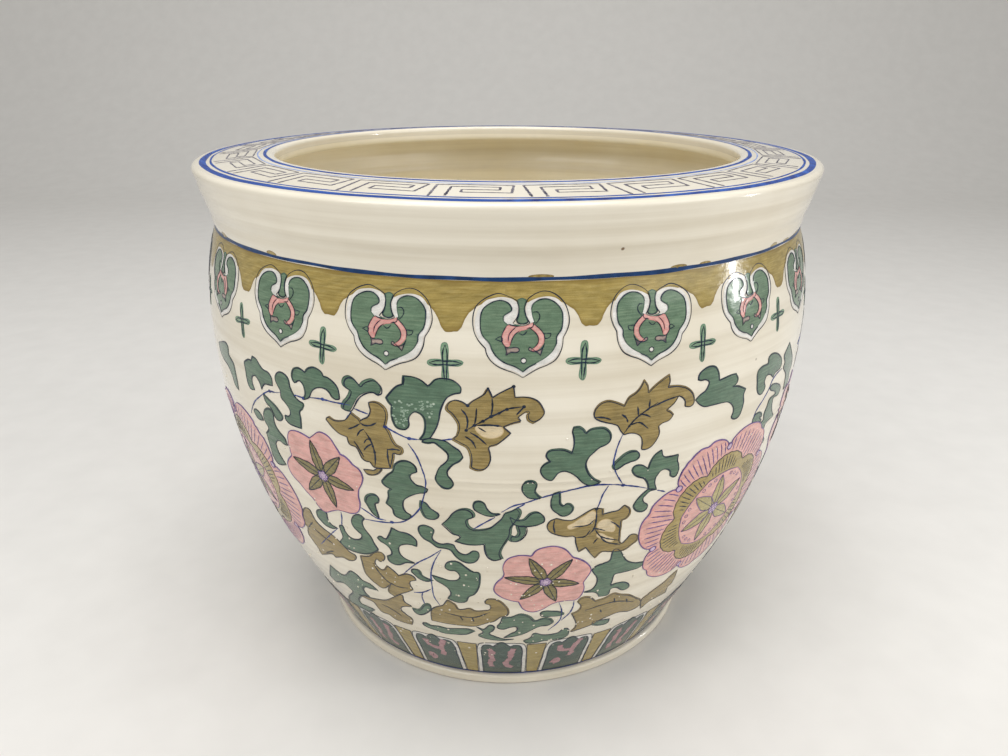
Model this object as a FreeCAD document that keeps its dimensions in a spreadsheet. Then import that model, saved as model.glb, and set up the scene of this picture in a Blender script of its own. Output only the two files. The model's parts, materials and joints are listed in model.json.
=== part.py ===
import FreeCAD, Part

import math
import os

import Sketcher

# Ceramic fish bowl planter: clay sections stuck together with slip, coats of glaze over them
# and enamel colours on the glaze.
# The origin is the centre of the foot on the table, +Z is up, and -Y is the front.

SIZES = {
    # foot ring
    "foot_height": 6.0,
    "foot_width": 16.0,
    "foot_bead": 2.8,
    "foot_round": 2.0,
    # outer shape of the glazed body, stacked from the foot up
    "belly_radius": 180.5,
    "belly_rise": 203.0,
    "foot_inset": 57.4,
    "flank_angle": 24.6,
    "shoulder_rise": 56.5,
    "neck_inset": 9.4,
    # clay
    "wall": 9.0,
    "floor_thickness": 12.0,
    "cavity_round": 14.0,
    "seam_drop": 39.0,
    "lute": 0.8,
    # coats
    "glaze": 0.6,
    "enamel": 0.3,
    # rim
    "collar_rise": 25.0,
    "collar_flare": 6.9,
    "collar_wall": 9.0,
    "plate_edge": 6.2,
    "rim_drop": 3.0,
    "rim_width": 42.5,
    "rim_round": 3.0,
    "lip_round": 2.4,
    # key fret on the rim
    "key_count": 25,
    "key_turn": -5.3,
    "key_stroke": 0.9,
    # enamel lines round the body
    "neck_line_drop": 0.2,
    "neck_line_width": 2.4,
    "foot_line_rise": 0.3,
    "foot_line_width": 1.8,
    # shoulder band, and the hearts that hang below it
    "band_width": 3.4,
    "heart_count": 19,
    "heart_turn": 1.7,
    "heart_gap": 0.8,
    "heart_height": 35.6,
    "heart_border": 2.6,
    "cross_arm": 3.4,
    # panels above the foot, and the strips between them
    "panel_count": 22,
    "panel_turn": -0.9,
    "panel_gap": 0.4,
    "panel_height": 32.0,
    "panel_round": 4.0,
    "panel_border": 2.6,
    "strip_gap": 0.1,
    # how far a cutting shape runs past what it cuts
    "overrun": 5.0,
}

# Enamel on the rim's flat run, from its outer edge inwards: inset and width as shares of the run.
RIM_RING_SHARES = {
    "rim_outer_band": (0.005, 0.103),
    "rim_outer_line": (0.151, 0.024),
    "rim_hairline": (0.814, 0.016),
    "rim_inner_line": (0.906, 0.054),
}
KEY_INSET_SHARE = 0.226
KEY_HEIGHT_SHARE = 0.55
# Widths as shares of the room that each motif has round the pot: a key at the fret's inner edge,
# a heart at the neck, a framed panel at the foot, and drips and crosses between two hearts.
KEY_WIDTH_SHARE = 0.9
HEART_WIDTH_SHARE = 0.728
PANEL_WIDTH_SHARE = 0.826
CROSS_WIDTH_SHARE = 0.98
DRIP_WIDTH_SHARE = 2.09
# Lengths beside the hearts as shares of the heart's height: the drips, the crosses and their drop
# below the heart's middle.
DRIP_LENGTH_SHARE = 0.407
CROSS_HEIGHT_SHARE = 0.478
CROSS_DROP_SHARE = 0.278
# Outlines on the enamel, right half from the bottom up: across and up as shares of the motif's own
# width and height from its middle, and the bend of the side that follows as a share of the width.
HEART_SHARES = (
    (0.40, -0.14, 0.62),
    (0.50, 0.14, 0.36),
    (0.22, 0.50, 0.24),
    (0.045, 0.40, None),
)
HEART_TIP_BEND_SHARE = 0.95
SCROLL_OUTER_SHARES = ((0.17, -0.22), (0.205, -0.08), (0.0, 0.12))
SCROLL_INNER_SHARES = ((0.10, -0.20), (0.145, -0.08), (0.0, 0.06))
SCROLL_BEND_SHARES = (0.22, 0.21)
SCROLL_INNER_BEND_SHARES = (0.16, 0.15)
DRIP_SHARES = ((0.15, 0.0, 0.17), (0.27, 0.45, None), (0.5, 1.0, None))
# One key of the fret, from its outer riser inwards: along and across as shares of its box.
KEY_SHARES = (
    (-0.5, -0.5),
    (-0.5, 0.5),
    (0.5, 0.5),
    (0.5, -0.18),
    (-0.14, -0.18),
    (-0.14, 0.05),
    (0.35, 0.05),
    (0.35, 0.3),
    (-0.3, 0.3),
    (-0.3, -0.5),
)
# A motif's cutting shape starts at this share of the radius that it has to reach.
PRISM_START_SHARE = 0.95
# An edge counts as a corner's edge within this share of the belly's radius.
EDGE_MATCH_SHARE = 1e-6

FULL_TURN = 360.0
LEFT = 1
RIGHT = -1


class Size:
    """A length, angle or count that keeps its number and the expression that binds it."""

    def __init__(self, number, text):
        self.number = number
        self.text = text

    def __add__(self, other):
        other = as_size(other)
        return Size(self.number + other.number, f"({self.text} + {other.text})")

    def __sub__(self, other):
        other = as_size(other)
        return Size(self.number - other.number, f"({self.text} - {other.text})")

    def __mul__(self, other):
        other = as_size(other)
        return Size(self.number * other.number, f"({self.text} * {other.text})")

    def __truediv__(self, other):
        other = as_size(other)
        return Size(self.number / other.number, f"({self.text} / {other.text})")

    def __neg__(self):
        return Size(-self.number, f"(0 - {self.text})")


def as_size(value):
    return value if isinstance(value, Size) else Size(float(value), repr(float(value)))


def square_root(size):
    return Size(math.sqrt(size.number), f"sqrt({size.text})")


def sine(angle):
    return Size(math.sin(math.radians(angle.number)), f"sin({angle.text})")


def cosine(angle):
    return Size(math.cos(math.radians(angle.number)), f"cos({angle.text})")


def tangent(angle):
    return Size(math.tan(math.radians(angle.number)), f"tan({angle.text})")


doc = FreeCAD.newDocument("fish_bowl_planter")
sheet = doc.addObject("Spreadsheet::Sheet", "Sizes")
for row, (alias, number) in enumerate(SIZES.items(), start=1):
    sheet.set(f"A{row}", alias)
    sheet.set(f"B{row}", str(number))
    sheet.setAlias(f"B{row}", alias)
doc.recompute()


def size(alias):
    return Size(SIZES[alias], f"Sizes.{alias}")


ZERO = as_size(0)
ENAMEL = size("enamel")
GLAZE = size("glaze")
LUTE = size("lute")
OVERRUN = size("overrun")

# Levels, from the table up
FOOT_TOP = size("foot_height")
BOWL_BOTTOM = FOOT_TOP + LUTE
FLOOR_TOP = BOWL_BOTTOM + size("floor_thickness")
BELLY_LEVEL = FOOT_TOP + size("belly_rise")
SEAM_LEVEL = BELLY_LEVEL - size("seam_drop")
NECK_LEVEL = BELLY_LEVEL + size("shoulder_rise")
COLLAR_TOP = NECK_LEVEL + size("collar_rise")
PLATE_LEVEL = COLLAR_TOP + LUTE
RIM_LEVEL = PLATE_LEVEL + size("plate_edge")
LIP_LEVEL = RIM_LEVEL + size("rim_drop")

# Radii of the glazed surface and of the two arcs of its profile
BELLY_RADIUS = size("belly_radius")
WALL_FOOT_RADIUS = BELLY_RADIUS - size("foot_inset")
NECK_RADIUS = BELLY_RADIUS - size("neck_inset")
RIM_RADIUS = NECK_RADIUS + size("collar_flare")
MOUTH_RADIUS = RIM_RADIUS - size("rim_width")
FLANK_ANGLE = size("flank_angle")
FLANK_ARC = (size("belly_rise") * tangent(FLANK_ANGLE) - size("foot_inset")) / (
    as_size(1) / cosine(FLANK_ANGLE) - 1
)
SHOULDER_ARC = (
    size("shoulder_rise") * size("shoulder_rise") + size("neck_inset") * size("neck_inset")
) / (size("neck_inset") * 2)

# Depth of the clay's inner face below the glazed surface
CLAY_INSIDE = GLAZE + size("wall")


def flank_point(level, depth):
    """Point on the straight flank above the foot, at a depth below the glazed surface."""
    radius = WALL_FOOT_RADIUS + tangent(FLANK_ANGLE) * (level - FOOT_TOP)
    return (radius - depth / cosine(FLANK_ANGLE), level)


def flank_top(depth):
    """Point where the straight flank runs into the belly's arc."""
    arc = FLANK_ARC - depth
    return (
        BELLY_RADIUS - FLANK_ARC + arc * cosine(FLANK_ANGLE),
        BELLY_LEVEL - arc * sine(FLANK_ANGLE),
    )


def belly_point(level, depth):
    """Point on the belly's arc below the widest level."""
    arc = FLANK_ARC - depth
    drop = BELLY_LEVEL - level
    return (BELLY_RADIUS - FLANK_ARC + square_root(arc * arc - drop * drop), level)


def shoulder_point(level, depth):
    """Point on the shoulder's arc above the widest level."""
    arc = SHOULDER_ARC - depth
    rise = level - BELLY_LEVEL
    return (BELLY_RADIUS - SHOULDER_ARC + square_root(arc * arc - rise * rise), level)


def collar_radius(level):
    """Glazed radius of the flared collar."""
    return NECK_RADIUS + size("collar_flare") * (level - NECK_LEVEL) / (RIM_LEVEL - NECK_LEVEL)


def collar_inside(level):
    return collar_radius(level) - GLAZE - size("collar_wall")


def rim_top(radius):
    """Level of the rim's glazed top, which slopes down to its outer edge."""
    return LIP_LEVEL - size("rim_drop") * (radius - MOUTH_RADIUS) / size("rim_width")


def room(radius, count):
    """Straight width that each of a number of motifs has at a radius."""
    return radius * sine(as_size(FULL_TURN / 2) / count) * 2


# Rim's flat run between its rounded edges, and the sizes of the motifs
FLAT_RADIUS = RIM_RADIUS - size("rim_round")
FLAT_WIDTH = size("rim_width") - size("rim_round") - size("lip_round")
KEY_HEIGHT = FLAT_WIDTH * KEY_HEIGHT_SHARE
KEY_TOP_RADIUS = FLAT_RADIUS - FLAT_WIDTH * KEY_INSET_SHARE
KEY_WIDTH = room(KEY_TOP_RADIUS - KEY_HEIGHT, size("key_count")) * KEY_WIDTH_SHARE
HEART_ROOM = room(NECK_RADIUS, size("heart_count"))
HEART_HEIGHT = size("heart_height")
HEART_WIDTH = HEART_ROOM * HEART_WIDTH_SHARE
BAND_TOP = NECK_LEVEL - size("neck_line_drop") - size("neck_line_width")
BAND_BOTTOM = BAND_TOP - size("band_width")
HEART_LEVEL = BAND_BOTTOM - size("heart_gap") - HEART_HEIGHT / 2
PANEL_BOTTOM = FOOT_TOP + size("foot_line_rise") + size("foot_line_width") + size("panel_gap")
PANEL_TOP = PANEL_BOTTOM + size("panel_height")
FRAME_HALF = room(flank_point(PANEL_BOTTOM, ZERO)[0], size("panel_count")) * PANEL_WIDTH_SHARE / 2
PANEL_HALF = FRAME_HALF - size("panel_border")


def bent(point, radius, turn):
    """Corner whose following side is an arc that turns left or right."""
    return point + (radius, turn)


def shell_profile(outer, inner, low_outer, low_inner):
    """Band between two depths from the flank up to the neck, as one loop."""
    widest_outer = (BELLY_RADIUS - outer, BELLY_LEVEL)
    widest_inner = (BELLY_RADIUS - inner, BELLY_LEVEL)
    return [
        flank_point(low_outer, outer),
        bent(flank_top(outer), FLANK_ARC - outer, LEFT),
        bent(widest_outer, SHOULDER_ARC - outer, LEFT),
        shoulder_point(NECK_LEVEL, outer),
        bent(shoulder_point(NECK_LEVEL, inner), SHOULDER_ARC - inner, RIGHT),
        bent(widest_inner, FLANK_ARC - inner, RIGHT),
        flank_top(inner),
        flank_point(low_inner, inner),
    ]


def centre_of_arc(start, end, radius, turn):
    middle = (start + end) * 0.5
    half = (end - start) * 0.5
    reach = math.sqrt(max(radius * radius - half.Length ** 2, 0.0))
    left = FreeCAD.Vector(-half.y, half.x, 0).normalize()
    return middle + left * (turn * reach)


def hold(sketch, kind, geometry, point, place):
    """Keep one coordinate of a corner at a bound distance from the origin."""
    if place.number == 0:
        axis = -2 if kind == "DistanceX" else -1
        sketch.addConstraint(Sketcher.Constraint("PointOnObject", geometry, point, axis))
        return
    if place.number > 0:
        held = Sketcher.Constraint(kind, -1, 1, geometry, point, place.number)
    else:
        place = -place
        held = Sketcher.Constraint(kind, geometry, point, -1, 1, place.number)
    index = sketch.addConstraint(held)
    sketch.setExpression(f"Constraints[{index}]", place.text)


def draw_loop(sketch, corners):
    """Closed loop of lines and arcs whose corners and bends are bound to the sizes."""
    sides = []
    for corner, following in zip(corners, corners[1:] + corners[:1]):
        start = FreeCAD.Vector(corner[0].number, corner[1].number, 0)
        end = FreeCAD.Vector(following[0].number, following[1].number, 0)
        if len(corner) == 2:
            index = sketch.addGeometry(Part.LineSegment(start, end))
            sides.append((index, 1, 2))
            continue
        radius, turn = corner[2:]
        centre = centre_of_arc(start, end, radius.number, turn)
        first, last = (start, end) if turn == LEFT else (end, start)
        first_angle = math.atan2(first.y - centre.y, first.x - centre.x)
        last_angle = math.atan2(last.y - centre.y, last.x - centre.x)
        circle = Part.Circle(centre, FreeCAD.Vector(0, 0, 1), radius.number)
        index = sketch.addGeometry(Part.ArcOfCircle(circle, first_angle, last_angle))
        sides.append((index, 1, 2) if turn == LEFT else (index, 2, 1))
    for side, following in zip(sides, sides[1:] + sides[:1]):
        sketch.addConstraint(
            Sketcher.Constraint("Coincident", side[0], side[2], following[0], following[1])
        )
    for (index, start, _), corner in zip(sides, corners):
        hold(sketch, "DistanceX", index, start, corner[0])
        hold(sketch, "DistanceY", index, start, corner[1])
        if len(corner) == 4:
            bend = sketch.addConstraint(Sketcher.Constraint("Radius", index, corner[2].number))
            sketch.setExpression(f"Constraints[{bend}]", corner[2].text)


def new_body(label):
    body = doc.addObject("PartDesign::Body", label)
    body.Label = label
    body.AllowCompound = True
    return body


def origin_feature(body, role):
    return next(item for item in body.Origin.OriginFeatures if item.Role == role)


def new_sketch(body, name, plane, loops, offset=ZERO):
    sketch = body.newObject("Sketcher::SketchObject", name)
    sketch.AttachmentSupport = (origin_feature(body, plane), [""])
    sketch.MapMode = "FlatFace"
    sketch.setExpression("AttachmentOffset.Base.z", offset.text)
    for loop in loops:
        draw_loop(sketch, loop)
    return sketch


def turned(body, name, corners):
    """Profile turned about the pot's axis."""
    sketch = new_sketch(body, f"{name}_profile", "XZ_Plane", [corners])
    feature = body.newObject("PartDesign::Revolution", name)
    feature.Profile = sketch
    feature.ReferenceAxis = (sketch, ["V_Axis"])
    feature.Angle = FULL_TURN
    doc.recompute()
    return feature


def turned_body(label, corners):
    body = new_body(label)
    turned(body, f"{label}_turned", corners)
    return body


def round_edges(body, places, radius):
    """Round the circular edges of a turned body that pass through the given profile corners."""
    base = body.Tip
    nearness = BELLY_RADIUS.number * EDGE_MATCH_SHARE
    names = []
    for number, edge in enumerate(base.Shape.Edges, start=1):
        if not isinstance(edge.Curve, Part.Circle):
            continue
        for corner_radius, level in places:
            radius_off = abs(edge.Curve.Radius - corner_radius.number)
            level_off = abs(edge.Curve.Center.z - level.number)
            if max(radius_off, level_off) < nearness:
                names.append(f"Edge{number}")
    fillet = body.newObject("PartDesign::Fillet", f"{body.Label}_round_{len(body.Group)}")
    fillet.Base = (base, names)
    fillet.setExpression("Radius", radius.text)
    doc.recompute()


def pad(body, name, sketch, length):
    feature = body.newObject("PartDesign::Pad", name)
    feature.Profile = sketch
    feature.setExpression("Length", length.text)
    doc.recompute()
    return feature


def repeat_round(body, count):
    """Repeat the whole of a body round the pot's axis."""
    pattern = body.newObject("PartDesign::PolarPattern", f"{body.Name}_round")
    pattern.TransformMode = "Whole shape"
    pattern.Axis = (origin_feature(body, "Z_Axis"), [""])
    pattern.Angle = FULL_TURN
    pattern.setExpression("Occurrences", count.text)
    body.Tip = pattern
    doc.recompute()


def turn_about_axis(body, angle):
    body.Placement = FreeCAD.Placement(
        FreeCAD.Vector(0, 0, 0), FreeCAD.Rotation(FreeCAD.Vector(0, 0, 1), angle.number)
    )
    body.setExpression("Placement.Rotation.Angle", angle.text)


def on_skin(label, prism, skin):
    """Enamel patch: the part of a thin skin that lies inside a prism."""
    patch = doc.addObject("Part::Common", label)
    patch.Base = prism
    patch.Tool = skin
    doc.recompute()
    return patch


def repeated_motif(label, prism, skin, count, angle):
    """Enamel node: one patch of the skin, repeated round the pot."""
    body = new_body(label)
    body.BaseFeature = on_skin(f"{label}_patch", prism, skin)
    doc.recompute()
    repeat_round(body, count)
    turn_about_axis(body, angle)
    return body


def mirrored(right_half):
    """Loop from its right half, bottom to top, and the same points mirrored back down."""
    left_half = []
    for index in range(len(right_half) - 1, -1, -1):
        corner = right_half[index]
        before = right_half[index - 1] if index > 0 else None
        bend = before[2:] if before and len(before) == 4 else ()
        left_half.append((-corner[0], corner[1]) + bend)
    return right_half + left_half


# Clay sections and slip joints

def foot_ring():
    inner = WALL_FOOT_RADIUS - size("foot_width")
    outer = WALL_FOOT_RADIUS + size("foot_bead")
    body = turned_body(
        "foot_ring", [(inner, ZERO), (outer, ZERO), (outer, FOOT_TOP), (inner, FOOT_TOP)]
    )
    round_edges(body, [(outer, ZERO), (outer, FOOT_TOP), (inner, ZERO)], size("foot_round"))
    return body


def foot_lute():
    inner = WALL_FOOT_RADIUS - size("foot_width")
    return turned_body(
        "foot_lute",
        [
            (inner, FOOT_TOP),
            flank_point(FOOT_TOP, GLAZE),
            flank_point(BOWL_BOTTOM, GLAZE),
            (inner, BOWL_BOTTOM),
        ],
    )


def lower_bowl():
    corner = flank_point(FLOOR_TOP, CLAY_INSIDE)
    body = turned_body(
        "lower_bowl",
        [
            (ZERO, BOWL_BOTTOM),
            flank_point(BOWL_BOTTOM, GLAZE),
            bent(flank_top(GLAZE), FLANK_ARC - GLAZE, LEFT),
            belly_point(SEAM_LEVEL, GLAZE),
            bent(belly_point(SEAM_LEVEL, CLAY_INSIDE), FLANK_ARC - CLAY_INSIDE, RIGHT),
            flank_top(CLAY_INSIDE),
            corner,
            (ZERO, FLOOR_TOP),
        ],
    )
    round_edges(body, [corner], size("cavity_round"))
    return body


def belly_lute():
    top = SEAM_LEVEL + LUTE
    return turned_body(
        "belly_lute",
        [
            belly_point(SEAM_LEVEL, CLAY_INSIDE),
            belly_point(SEAM_LEVEL, GLAZE),
            belly_point(top, GLAZE),
            belly_point(top, CLAY_INSIDE),
        ],
    )


def upper_wall():
    low = SEAM_LEVEL + LUTE
    return turned_body(
        "upper_wall",
        [
            bent(belly_point(low, GLAZE), FLANK_ARC - GLAZE, LEFT),
            bent((BELLY_RADIUS - GLAZE, BELLY_LEVEL), SHOULDER_ARC - GLAZE, LEFT),
            shoulder_point(NECK_LEVEL, GLAZE),
            bent(shoulder_point(NECK_LEVEL, CLAY_INSIDE), SHOULDER_ARC - CLAY_INSIDE, RIGHT),
            bent((BELLY_RADIUS - CLAY_INSIDE, BELLY_LEVEL), FLANK_ARC - CLAY_INSIDE, RIGHT),
            belly_point(low, CLAY_INSIDE),
        ],
    )


def collar_band(label, low, high):
    """Clay or slip of the collar between two levels."""
    return turned_body(
        label,
        [
            (collar_inside(low), low),
            (collar_radius(low) - GLAZE, low),
            (collar_radius(high) - GLAZE, high),
            (collar_inside(high), high),
        ],
    )


def rim_plate():
    edge = (collar_radius(RIM_LEVEL - GLAZE) - GLAZE, RIM_LEVEL - GLAZE)
    lip = (MOUTH_RADIUS + GLAZE, LIP_LEVEL - GLAZE)
    under_lip = (MOUTH_RADIUS + GLAZE, PLATE_LEVEL)
    under_edge = (collar_radius(PLATE_LEVEL) - GLAZE, PLATE_LEVEL)
    body = turned_body("rim_plate", [under_lip, under_edge, edge, lip])
    round_edges(body, [edge], size("rim_round") - GLAZE)
    round_edges(body, [lip, under_lip], size("lip_round") - GLAZE)
    return body


# Glaze coats

def outside_glaze():
    return turned_body("outside_glaze", shell_profile(ZERO, GLAZE, FOOT_TOP, FOOT_TOP))


def inside_glaze():
    outer = CLAY_INSIDE
    inner = CLAY_INSIDE + GLAZE
    top = FLOOR_TOP + GLAZE
    profile = shell_profile(outer, inner, FLOOR_TOP, top)
    body = turned_body("inside_glaze", [(ZERO, FLOOR_TOP)] + profile + [(ZERO, top)])
    round_edges(body, [flank_point(FLOOR_TOP, outer)], size("cavity_round"))
    round_edges(body, [flank_point(top, inner)], size("cavity_round") - GLAZE)
    return body


def rim_glaze():
    edge = (RIM_RADIUS, RIM_LEVEL)
    lip = (MOUTH_RADIUS, LIP_LEVEL)
    under = PLATE_LEVEL - GLAZE
    under_lip = (MOUTH_RADIUS, under)
    clay_edge = (collar_radius(RIM_LEVEL - GLAZE) - GLAZE, RIM_LEVEL - GLAZE)
    clay_lip = (MOUTH_RADIUS + GLAZE, LIP_LEVEL - GLAZE)
    clay_under_lip = (MOUTH_RADIUS + GLAZE, PLATE_LEVEL)
    body = turned_body(
        "rim_glaze",
        [
            (NECK_RADIUS, NECK_LEVEL),
            edge,
            lip,
            under_lip,
            (collar_inside(under) - GLAZE, under),
            (collar_inside(NECK_LEVEL) - GLAZE, NECK_LEVEL),
            (collar_inside(NECK_LEVEL), NECK_LEVEL),
            (collar_inside(PLATE_LEVEL), PLATE_LEVEL),
            clay_under_lip,
            clay_lip,
            clay_edge,
            (NECK_RADIUS - GLAZE, NECK_LEVEL),
        ],
    )
    round_edges(body, [edge], size("rim_round"))
    round_edges(body, [clay_edge], size("rim_round") - GLAZE)
    round_edges(body, [lip, under_lip], size("lip_round"))
    round_edges(body, [clay_lip, clay_under_lip], size("lip_round") - GLAZE)
    return body


# Enamel rings

def rim_ring(label):
    """Flat ring of enamel on the rim's sloping top."""
    inset, width = RIM_RING_SHARES[label]
    outer = FLAT_RADIUS - FLAT_WIDTH * inset
    inner = outer - FLAT_WIDTH * width
    return turned_body(
        label,
        [
            (inner, rim_top(inner)),
            (outer, rim_top(outer)),
            (outer, rim_top(outer) + ENAMEL),
            (inner, rim_top(inner) + ENAMEL),
        ],
    )


def neck_line():
    high = NECK_LEVEL - size("neck_line_drop")
    low = BAND_TOP
    return turned_body(
        "neck_line",
        [
            shoulder_point(low, ZERO),
            bent(shoulder_point(low, -ENAMEL), SHOULDER_ARC + ENAMEL, LEFT),
            shoulder_point(high, -ENAMEL),
            bent(shoulder_point(high, ZERO), SHOULDER_ARC, RIGHT),
        ],
    )


def foot_line():
    low = FOOT_TOP + size("foot_line_rise")
    high = low + size("foot_line_width")
    return turned_body(
        "foot_line",
        [
            flank_point(low, ZERO),
            flank_point(low, -ENAMEL),
            flank_point(high, -ENAMEL),
            flank_point(high, ZERO),
        ],
    )


# Enamel motifs

def heart_loop(width, height):
    tip = bent((ZERO, HEART_LEVEL - height / 2), width * HEART_TIP_BEND_SHARE, LEFT)
    right = []
    for across, up, bend in HEART_SHARES:
        point = (width * across, HEART_LEVEL + height * up)
        right.append(point if bend is None else bent(point, width * bend, LEFT))
    loop = mirrored(right)
    loop[-1] = bent(loop[-1][:2], width * HEART_TIP_BEND_SHARE, LEFT)
    return [tip] + loop


def heart_field_loop():
    border = size("heart_border") * 2
    return heart_loop(HEART_WIDTH - border, HEART_HEIGHT - border)


def scroll_loop():
    """Horseshoe in the heart, open at the bottom."""
    width = HEART_WIDTH

    def place(share, side):
        return (width * (share[0] * side), HEART_LEVEL + HEART_HEIGHT * share[1])

    foot, waist, crown = SCROLL_OUTER_SHARES
    inner_foot, inner_waist, inner_crown = SCROLL_INNER_SHARES
    low_bend, high_bend = [width * share for share in SCROLL_BEND_SHARES]
    inner_low_bend, inner_high_bend = [width * share for share in SCROLL_INNER_BEND_SHARES]
    return [
        bent(place(foot, 1), low_bend, LEFT),
        bent(place(waist, 1), high_bend, LEFT),
        bent(place(crown, 0), high_bend, LEFT),
        bent(place(waist, -1), low_bend, LEFT),
        place(foot, -1),
        bent(place(inner_foot, -1), inner_low_bend, RIGHT),
        bent(place(inner_waist, -1), inner_high_bend, RIGHT),
        bent(place(inner_crown, 0), inner_high_bend, RIGHT),
        bent(place(inner_waist, 1), inner_low_bend, RIGHT),
        place(inner_foot, 1),
    ]


def cross_loop():
    level = HEART_LEVEL - HEART_HEIGHT * CROSS_DROP_SHARE
    arm = size("cross_arm") / 2
    side = (HEART_ROOM - HEART_WIDTH) * CROSS_WIDTH_SHARE / 2
    reach = HEART_HEIGHT * CROSS_HEIGHT_SHARE / 2
    return mirrored(
        [
            (arm, level - reach),
            (arm, level - arm),
            (side, level - arm),
            (side, level + arm),
            (arm, level + arm),
            (arm, level + reach),
        ]
    )


def panel_loop():
    """Upright panel with rounded top corners."""
    side = PANEL_HALF
    high = PANEL_TOP
    bend = size("panel_round")
    corner = bent((side, high - bend), bend, LEFT)
    return mirrored([(side, PANEL_BOTTOM), corner, (side - bend, high)])


def panel_frame_loop():
    """White border on both sides of a panel and over it."""
    low = PANEL_BOTTOM
    high = PANEL_TOP
    bend = size("panel_round")
    border = size("panel_border")
    side = PANEL_HALF
    outer_side = FRAME_HALF
    return [
        (outer_side, low),
        bent((outer_side, high - bend), bend + border, LEFT),
        (side - bend, high + border),
        bent((bend - side, high + border), bend + border, LEFT),
        (-outer_side, high - bend),
        (-outer_side, low),
        (-side, low),
        bent((-side, high - bend), bend, RIGHT),
        (bend - side, high),
        bent((side - bend, high), bend, RIGHT),
        (side, high - bend),
        (side, low),
    ]


def strip_side(level):
    """Half of the width that two neighbouring frames leave at a level."""
    pitch = room(flank_point(level, ZERO)[0], size("panel_count"))
    return pitch / 2 - FRAME_HALF - size("strip_gap")


def strip_loop():
    return mirrored([(strip_side(level), level) for level in (PANEL_BOTTOM, PANEL_TOP)])


def shoulder_band(skin):
    """Olive band under the neck line, with a drip between each two hearts."""
    low = BAND_BOTTOM
    high = BAND_TOP
    start = NECK_RADIUS * PRISM_START_SHARE
    end = BELLY_RADIUS + OVERRUN
    middle = (low + high) / 2
    width = (HEART_ROOM - HEART_WIDTH) * DRIP_WIDTH_SHARE
    length = HEART_HEIGHT * DRIP_LENGTH_SHARE + size("band_width") / 2
    right = []
    for across, up, bend in DRIP_SHARES:
        point = (width * across, middle - length + length * up)
        right.append(point if bend is None else bent(point, width * bend, RIGHT))
    body = new_body("shoulder_band_prisms")
    sketch = new_sketch(body, "shoulder_band_drip", "XZ_Plane", [mirrored(right)], start)
    pad(body, "shoulder_band_drip_pad", sketch, end - start)
    repeat_round(body, size("heart_count"))
    turned(body, "shoulder_band_ring", [(start, low), (end, low), (end, high), (start, high)])
    turn_about_axis(body, between_hearts())
    return on_skin("shoulder_band", body, skin)


def between_hearts():
    return size("heart_turn") + as_size(FULL_TURN / 2) / size("heart_count")


def step(start, end):
    """Unit step along a side that runs straight along or straight across."""
    along = end[0] - start[0]
    across = end[1] - start[1]
    return (math.copysign(1, along), 0) if along else (0, math.copysign(1, across))


def key_loop():
    """One key of the fret as a line of constant width, all its turns square."""
    middle = KEY_TOP_RADIUS - KEY_HEIGHT / 2
    half = size("key_stroke") / 2
    steps = [step(start, end) for start, end in zip(KEY_SHARES, KEY_SHARES[1:])]
    left_side = []
    right_side = []
    for index, (along, across) in enumerate(KEY_SHARES):
        meeting = set(steps[max(index - 1, 0):index + 1])
        shift_along = -sum(side[1] for side in meeting)
        shift_across = sum(side[0] for side in meeting)
        x = KEY_WIDTH * along
        y = KEY_HEIGHT * across - middle
        left_side.append((x + half * shift_along, y + half * shift_across))
        right_side.append((x - half * shift_along, y - half * shift_across))
    return left_side + right_side[::-1]


def key_fret():
    low = RIM_LEVEL - OVERRUN
    prism = new_body("rim_key_fret_prism")
    sketch = new_sketch(prism, "rim_key_fret_outline", "XY_Plane", [key_loop()], low)
    pad(prism, "rim_key_fret_pad", sketch, LIP_LEVEL + OVERRUN - low)
    outer = FLAT_RADIUS
    inner = FLAT_RADIUS - FLAT_WIDTH
    skin = turned_body(
        "rim_skin",
        [
            (inner, rim_top(inner)),
            (outer, rim_top(outer)),
            (outer, rim_top(outer) + ENAMEL),
            (inner, rim_top(inner) + ENAMEL),
        ],
    )
    return repeated_motif("rim_key_fret", prism, skin, size("key_count"), size("key_turn"))


def side_motif(label, loops, radius, count, angle, skin):
    """Outline seen from the front, pushed out through the body's skin and repeated round it."""
    start = radius * PRISM_START_SHARE
    prism = new_body(f"{label}_prism")
    sketch = new_sketch(prism, f"{label}_outline", "XZ_Plane", loops, start)
    pad(prism, f"{label}_pad", sketch, BELLY_RADIUS + OVERRUN - start)
    return repeated_motif(label, prism, skin, count, angle)


def enamel_motifs():
    skin = turned_body("body_skin", shell_profile(-ENAMEL, ZERO, FOOT_TOP, FOOT_TOP))
    hearts = size("heart_count")
    heart_turn = size("heart_turn")
    heart = heart_loop(HEART_WIDTH, HEART_HEIGHT)
    field = heart_field_loop()
    scroll = scroll_loop()
    panels = size("panel_count")
    panel_turn = size("panel_turn")
    strip_turn = panel_turn + as_size(FULL_TURN / 2) / panels
    foot = WALL_FOOT_RADIUS
    neck = NECK_RADIUS
    return [
        shoulder_band(skin),
        side_motif("heart_frames", [heart, field], neck, hearts, heart_turn, skin),
        side_motif("heart_fields", [field, scroll], neck, hearts, heart_turn, skin),
        side_motif("heart_scrolls", [scroll], neck, hearts, heart_turn, skin),
        side_motif("cross_sprigs", [cross_loop()], neck, hearts, between_hearts(), skin),
        side_motif("foot_panel_frames", [panel_frame_loop()], foot, panels, panel_turn, skin),
        side_motif("foot_panels", [panel_loop()], foot, panels, panel_turn, skin),
        side_motif("foot_panel_strips", [strip_loop()], foot, panels, strip_turn, skin),
    ]


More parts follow.
